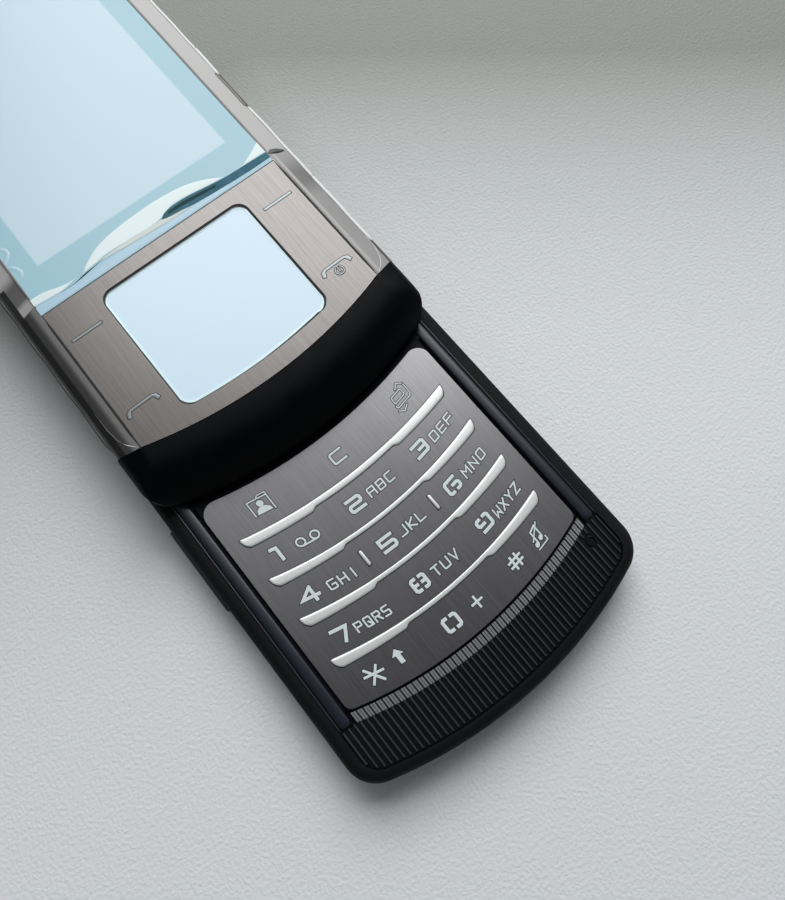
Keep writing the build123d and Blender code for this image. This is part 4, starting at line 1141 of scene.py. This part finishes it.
def films():
    """Loose protective film on the display: bubbles, painted white where they catch light, and
    curls at its left edge.
    """
    shape = Shape()
    for n, (tone, upper, lower) in enumerate(PATCHES):
        patch(shape, upper, lower, GLASS_TOP + LIFT * n, tone)
    for curl in EDGE_CURLS:
        cord(shape, [(*spot, GLASS_TOP) for spot in curl], CURL_HALF, BLUE, CURL_FLAT)
    piece("display_film", "upper_half", shape, FILM_TONES)


BAND_TONES = ("film_left_foot", "film_left", "film_right", "film_pale_lit", "film_edge_glint", "film_shade",
              "gap_and_shade_black", "film_grey")
LEFT_FOOT, LEFT, RIGHT, PALE_LIT, EDGE_GLINT, SHADE, GAP_AND_SHADE, GREY = range(8)
STRIP_RISE = 0.02
# Strips of film: side, inner and outer distance, lower and upper end, tone. The black strip on the
# left's outer side is painted shade, and the pale strip on the right painted light beside the seam.
BAND_STRIPS = (
    (-1, 21.12, 24.15, 58, 86.95, LEFT_FOOT), (-1, 21.12, 23.9, 86.95, 147, LEFT),
    (-1, 23.3, 24.1, 86.95, 92.8, GAP_AND_SHADE), (1, 21.25, 24.15, 58, 147, RIGHT),
    (1, 21.4, 21.95, 58, 86.4, PALE_LIT),
)
# Folded edges of the film: side, distance, half width, first and last y, tone. The bright ones
# paint the highlight where a folded edge catches light.
BAND_CORDS = (
    (1, 24.4, 0.34, 65, 80, EDGE_GLINT), (1, 24.38, 0.3, 79.5, 97, EDGE_GLINT),
    (1, 24.05, 0.32, 96.8, 105.5, GREY), (1, 24.4, 0.34, 105, 112, EDGE_GLINT),
    (1, 24.4, 0.3, 111, 147, EDGE_GLINT), (-1, 23.08, 0.05, 62.5, 86, GREY),
    (-1, 24.62, 0.26, 61.8, 93, SHADE),
)
CORD_SUNK, CORD_FLAT = 0.05, 0.6
WAVE, WAVE_RATE = 0.04, 0.7  # the folded edges wander a little
# The films' lower ends: side, half width, tone, and (distance, y) points; the bright ones are
# painted highlights.
FILM_FEET = (
    (-1, 0.05, GREY, ((23.35, 68), (23.3, 64.5), (22.95, 62.3), (22.4, 61.1))),
    (-1, 0.07, EDGE_GLINT, ((22.6, 61.4), (22.1, 60.6), (21.3, 59.6))),
    (1, 0.06, EDGE_GLINT, ((24.2, 66), (24, 63.5), (23.4, 61.6), (22.5, 60.3), (21.4, 59.5))),
)
NOTCH = ((21.15, 86.5, 12.68), (21.8, 86.6, 12.47), (22.7, 86.4, 12.13), (23.7, 86.1, 11.75))
NOTCH_HALF, NOTCH_FLAT = 0.5, 0.3
# Dark lines where the band meets the plate and the display: first and last y, z, tone.
SEAMS = ((59, 85, 12.8, GAP_AND_SHADE), (85, 147.5, 12.9, GREY))
SEAM_X, SEAM_LINE, SEAM_FLAT = 20.95, 0.17, 0.25
BAND_SLOPE = 3.85
EDGE_START = 23.92  # where the band's slope ends in its rounded edge
EDGE_ROUND, EDGE_LEVEL = 1.6, 10.1


def band_height(x):
    """The top of the metal band at x to the side, down over its rounded edge."""
    if x > EDGE_START:
        over = x - (UPPER_HALF_WIDTH - EDGE_ROUND)
        return EDGE_LEVEL + circle(over, EDGE_ROUND)
    return TOP_Z - SIDE_FALL * (x - (UPPER_HALF_WIDTH - BAND_SLOPE)) / BAND_SLOPE


def band_strip(shape, side, inner, outer, low, high, tone, layer):
    """A strip of film on one side of the band, between two distances from the middle."""
    rings = []
    for share in spread(0.0, 1.0, 12):
        line = []
        for x in spread(inner, outer, 4):
            foot = max(low, CHIN_TOP + arc(x, CHIN_RADIUS) + 0.04)
            z = band_height(x) + STRIP_RISE + LIFT * layer
            line.append((side * x, foot + (high - foot) * share, z))
        first, last = [(*line[n][:2], line[n][2] - 2 * SUNK) for n in (0, -1)]
        rings.append([first] + line + [last])
    shape.tube(rings, tone)


def band_films():
    """Protective film on the metal band: hazy strips that also paint light and shade, bright edges
    that are painted highlights, and dark seams.
    """
    shape = Shape()
    for n, values in enumerate(BAND_STRIPS):
        band_strip(shape, *values, n)
    for side, x, half, low, high, tone in BAND_CORDS:
        z = band_height(x) - CORD_SUNK
        line = [(side * (x + WAVE * sin(WAVE_RATE * y)), y, z) for y in spread(low, high, 24)]
        cord(shape, line, half, tone, CORD_FLAT)
    for side, half, tone, line in FILM_FEET:
        cord(shape, [(side * x, y, band_height(x) + SUNK) for x, y in line], half, tone)
    cord(shape, NOTCH, NOTCH_HALF, SHADE, NOTCH_FLAT)
    for side in (-1, 1):
        for low, high, z, tone in SEAMS:
            line = [(side * SEAM_X, y, z) for y in spread(low, high, 8)]
            cord(shape, line, SEAM_LINE, tone, SEAM_FLAT)
    piece("band_film", "upper_half", shape, BAND_TONES)


# ---- what bends inside the slide


def flexing(name, node):
    """A spring or flat cable between the halves, copied from its CAD node into a free object that
    takes the node's place.
    """
    made = new_object(name, NODES[node].data.copy())
    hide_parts(node)
    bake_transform(made)


# ---- stage
# Places and sizes of the stage are in metres.

CAMERA_PLACE = Vector((-0.01098, -0.05997, 0.10642))
LOOK = Vector((0.1705, 0.212, -0.9623))
IMAGE_UP = Vector((0.6105, 0.7439, 0.272))
FOCAL = 28.33  # mm, for a sensor whose long side is 36 mm


def camera():
    lens = bpy.data.cameras.new("camera")
    lens.lens = FOCAL
    lens.clip_start = 0.005
    lens.clip_end = 10.0
    made = new_object("camera", lens)
    back = -LOOK.normalized()
    right = IMAGE_UP.cross(back).normalized()
    turn = Matrix((right, back.cross(right), back)).transposed().to_4x4()
    made.matrix_world = Matrix.Translation(CAMERA_PLACE) @ turn
    bpy.context.scene.camera = made


FLOOR_SIZE = 3.0
# The floor's colour darkens away from its near tone towards the back and the right: painted shade
# of the light falling off.
FLOOR_NEAR = (0.745, 0.765, 0.775)
FLOOR_FAR_SHADE = (0.285, 0.3, 0.27)
FLOOR_SPAN = (-0.06, 0.04)  # the Y values between which it darkens
FLOOR_SIDE, SIDE_START = 0.8, 0.028  # to the right it darkens from nearer on


def floor():
    """A plain pale surface with a faint leather grain, its colour a little darker towards the
    window: painted shade of the light falling off.
    """
    mesh = bpy.data.meshes.new("floor")
    corners = [(x * FLOOR_SIZE, y * FLOOR_SIZE, 0) for x, y in ((-1, -1), (1, -1), (1, 1), (-1, 1))]
    mesh.from_pydata(corners, [], [(0, 1, 2, 3)])
    made = new_object("floor", mesh)
    made.location.z = -0.02 * MM
    cover = material("floor", FLOOR_NEAR, 0.6, specular=0.25)
    side = maths(cover, "MULTIPLY_ADD", axis(cover, "X"), FLOOR_SIDE, -SIDE_START)
    away = maths(cover, "ADD", axis(cover, "Y"), maths(cover, "MAXIMUM", side, 0.0))
    growing = maths(cover, "POWER", reach(cover, away, *FLOOR_SPAN), 2.0)
    shade(cover, "Base Color", ramp(cover, growing, (0.0, FLOOR_NEAR), (1.0, FLOOR_FAR_SHADE)))
    bump(cover, noise(cover, 1900, detail=4.0), 0.3, 0.5)
    mesh.materials.append(cover)


WINDOW_PLACE = Vector((0.355, 0.455, 0.65))
WINDOW_AIM = Vector((0.0, -0.02, 0.0))
WINDOW_SIZE = (0.8, 0.58)
WINDOW_POWER = 8.2
WINDOW_COLOUR = (0.98, 0.99, 1.0)
HORIZON = (0.36, 0.38, 0.4)
ZENITH = (0.045, 0.047, 0.052)
SIDE_SPAN = (-0.8, 0.8)
SIDE_LIGHT = (0.6, 1.45)  # the room's brightness to the left and to the right
# Faint glows: the way to each, the cosines where it starts and is full, and its light.
GLOWS = (((-0.063, 0.32, 0.945), (0.963, 1.0), 1.0), ((0.641, 0.687, 0.342), (0.965, 1.0), 2.0))


def window():
    """One large soft lamp."""
    light = bpy.data.lights.new("window", "AREA")
    light.shape = "RECTANGLE"
    light.size, light.size_y = WINDOW_SIZE
    light.energy = WINDOW_POWER
    light.color = WINDOW_COLOUR
    made = new_object("window", light)
    made.location = WINDOW_PLACE
    made.rotation_euler = (WINDOW_AIM - WINDOW_PLACE).to_track_quat("-Z", "Y").to_euler()


def room():
    """A room that is dim overhead but for faint glows."""
    world = bpy.data.worlds.new("world")
    world.use_nodes = True
    dome = ramp(world, axis(world, "Z", "Generated"), (0.05, HORIZON), (0.95, ZENITH))
    side = reach(world, axis(world, "X", "Generated"), *SIDE_SPAN, *SIDE_LIGHT)
    total = add(world, "VectorMath", (0, dome), ("Scale", side), operation="SCALE")
    for way, span, light in GLOWS:
        ray = add(world, "TexCoord", out="Generated")
        toward = add(world, "VectorMath", (0, ray), (1, way), operation="DOT_PRODUCT", out="Value")
        bright = maths(world, "MULTIPLY", reach(world, toward, *span, steps="SMOOTHSTEP"), light)
        total = add(world, "VectorMath", (0, total), (1, bright), operation="ADD")
    feed(world, world.node_tree.nodes["Background"], "Color", total)
    bpy.context.scene.world = world


dress_frame()
key_markings()
nav_markings()
bars()
bar_corners()
rails()
seams()
trim()
grip()
chin()
pad_rim()
films()
band_films()
flexing("spring_wires", "slide_springs")
flexing("cable_run", "ribbon_cable")
floor()
window()
room()
camera()
bpy.context.scene.view_settings.view_transform = "Standard"
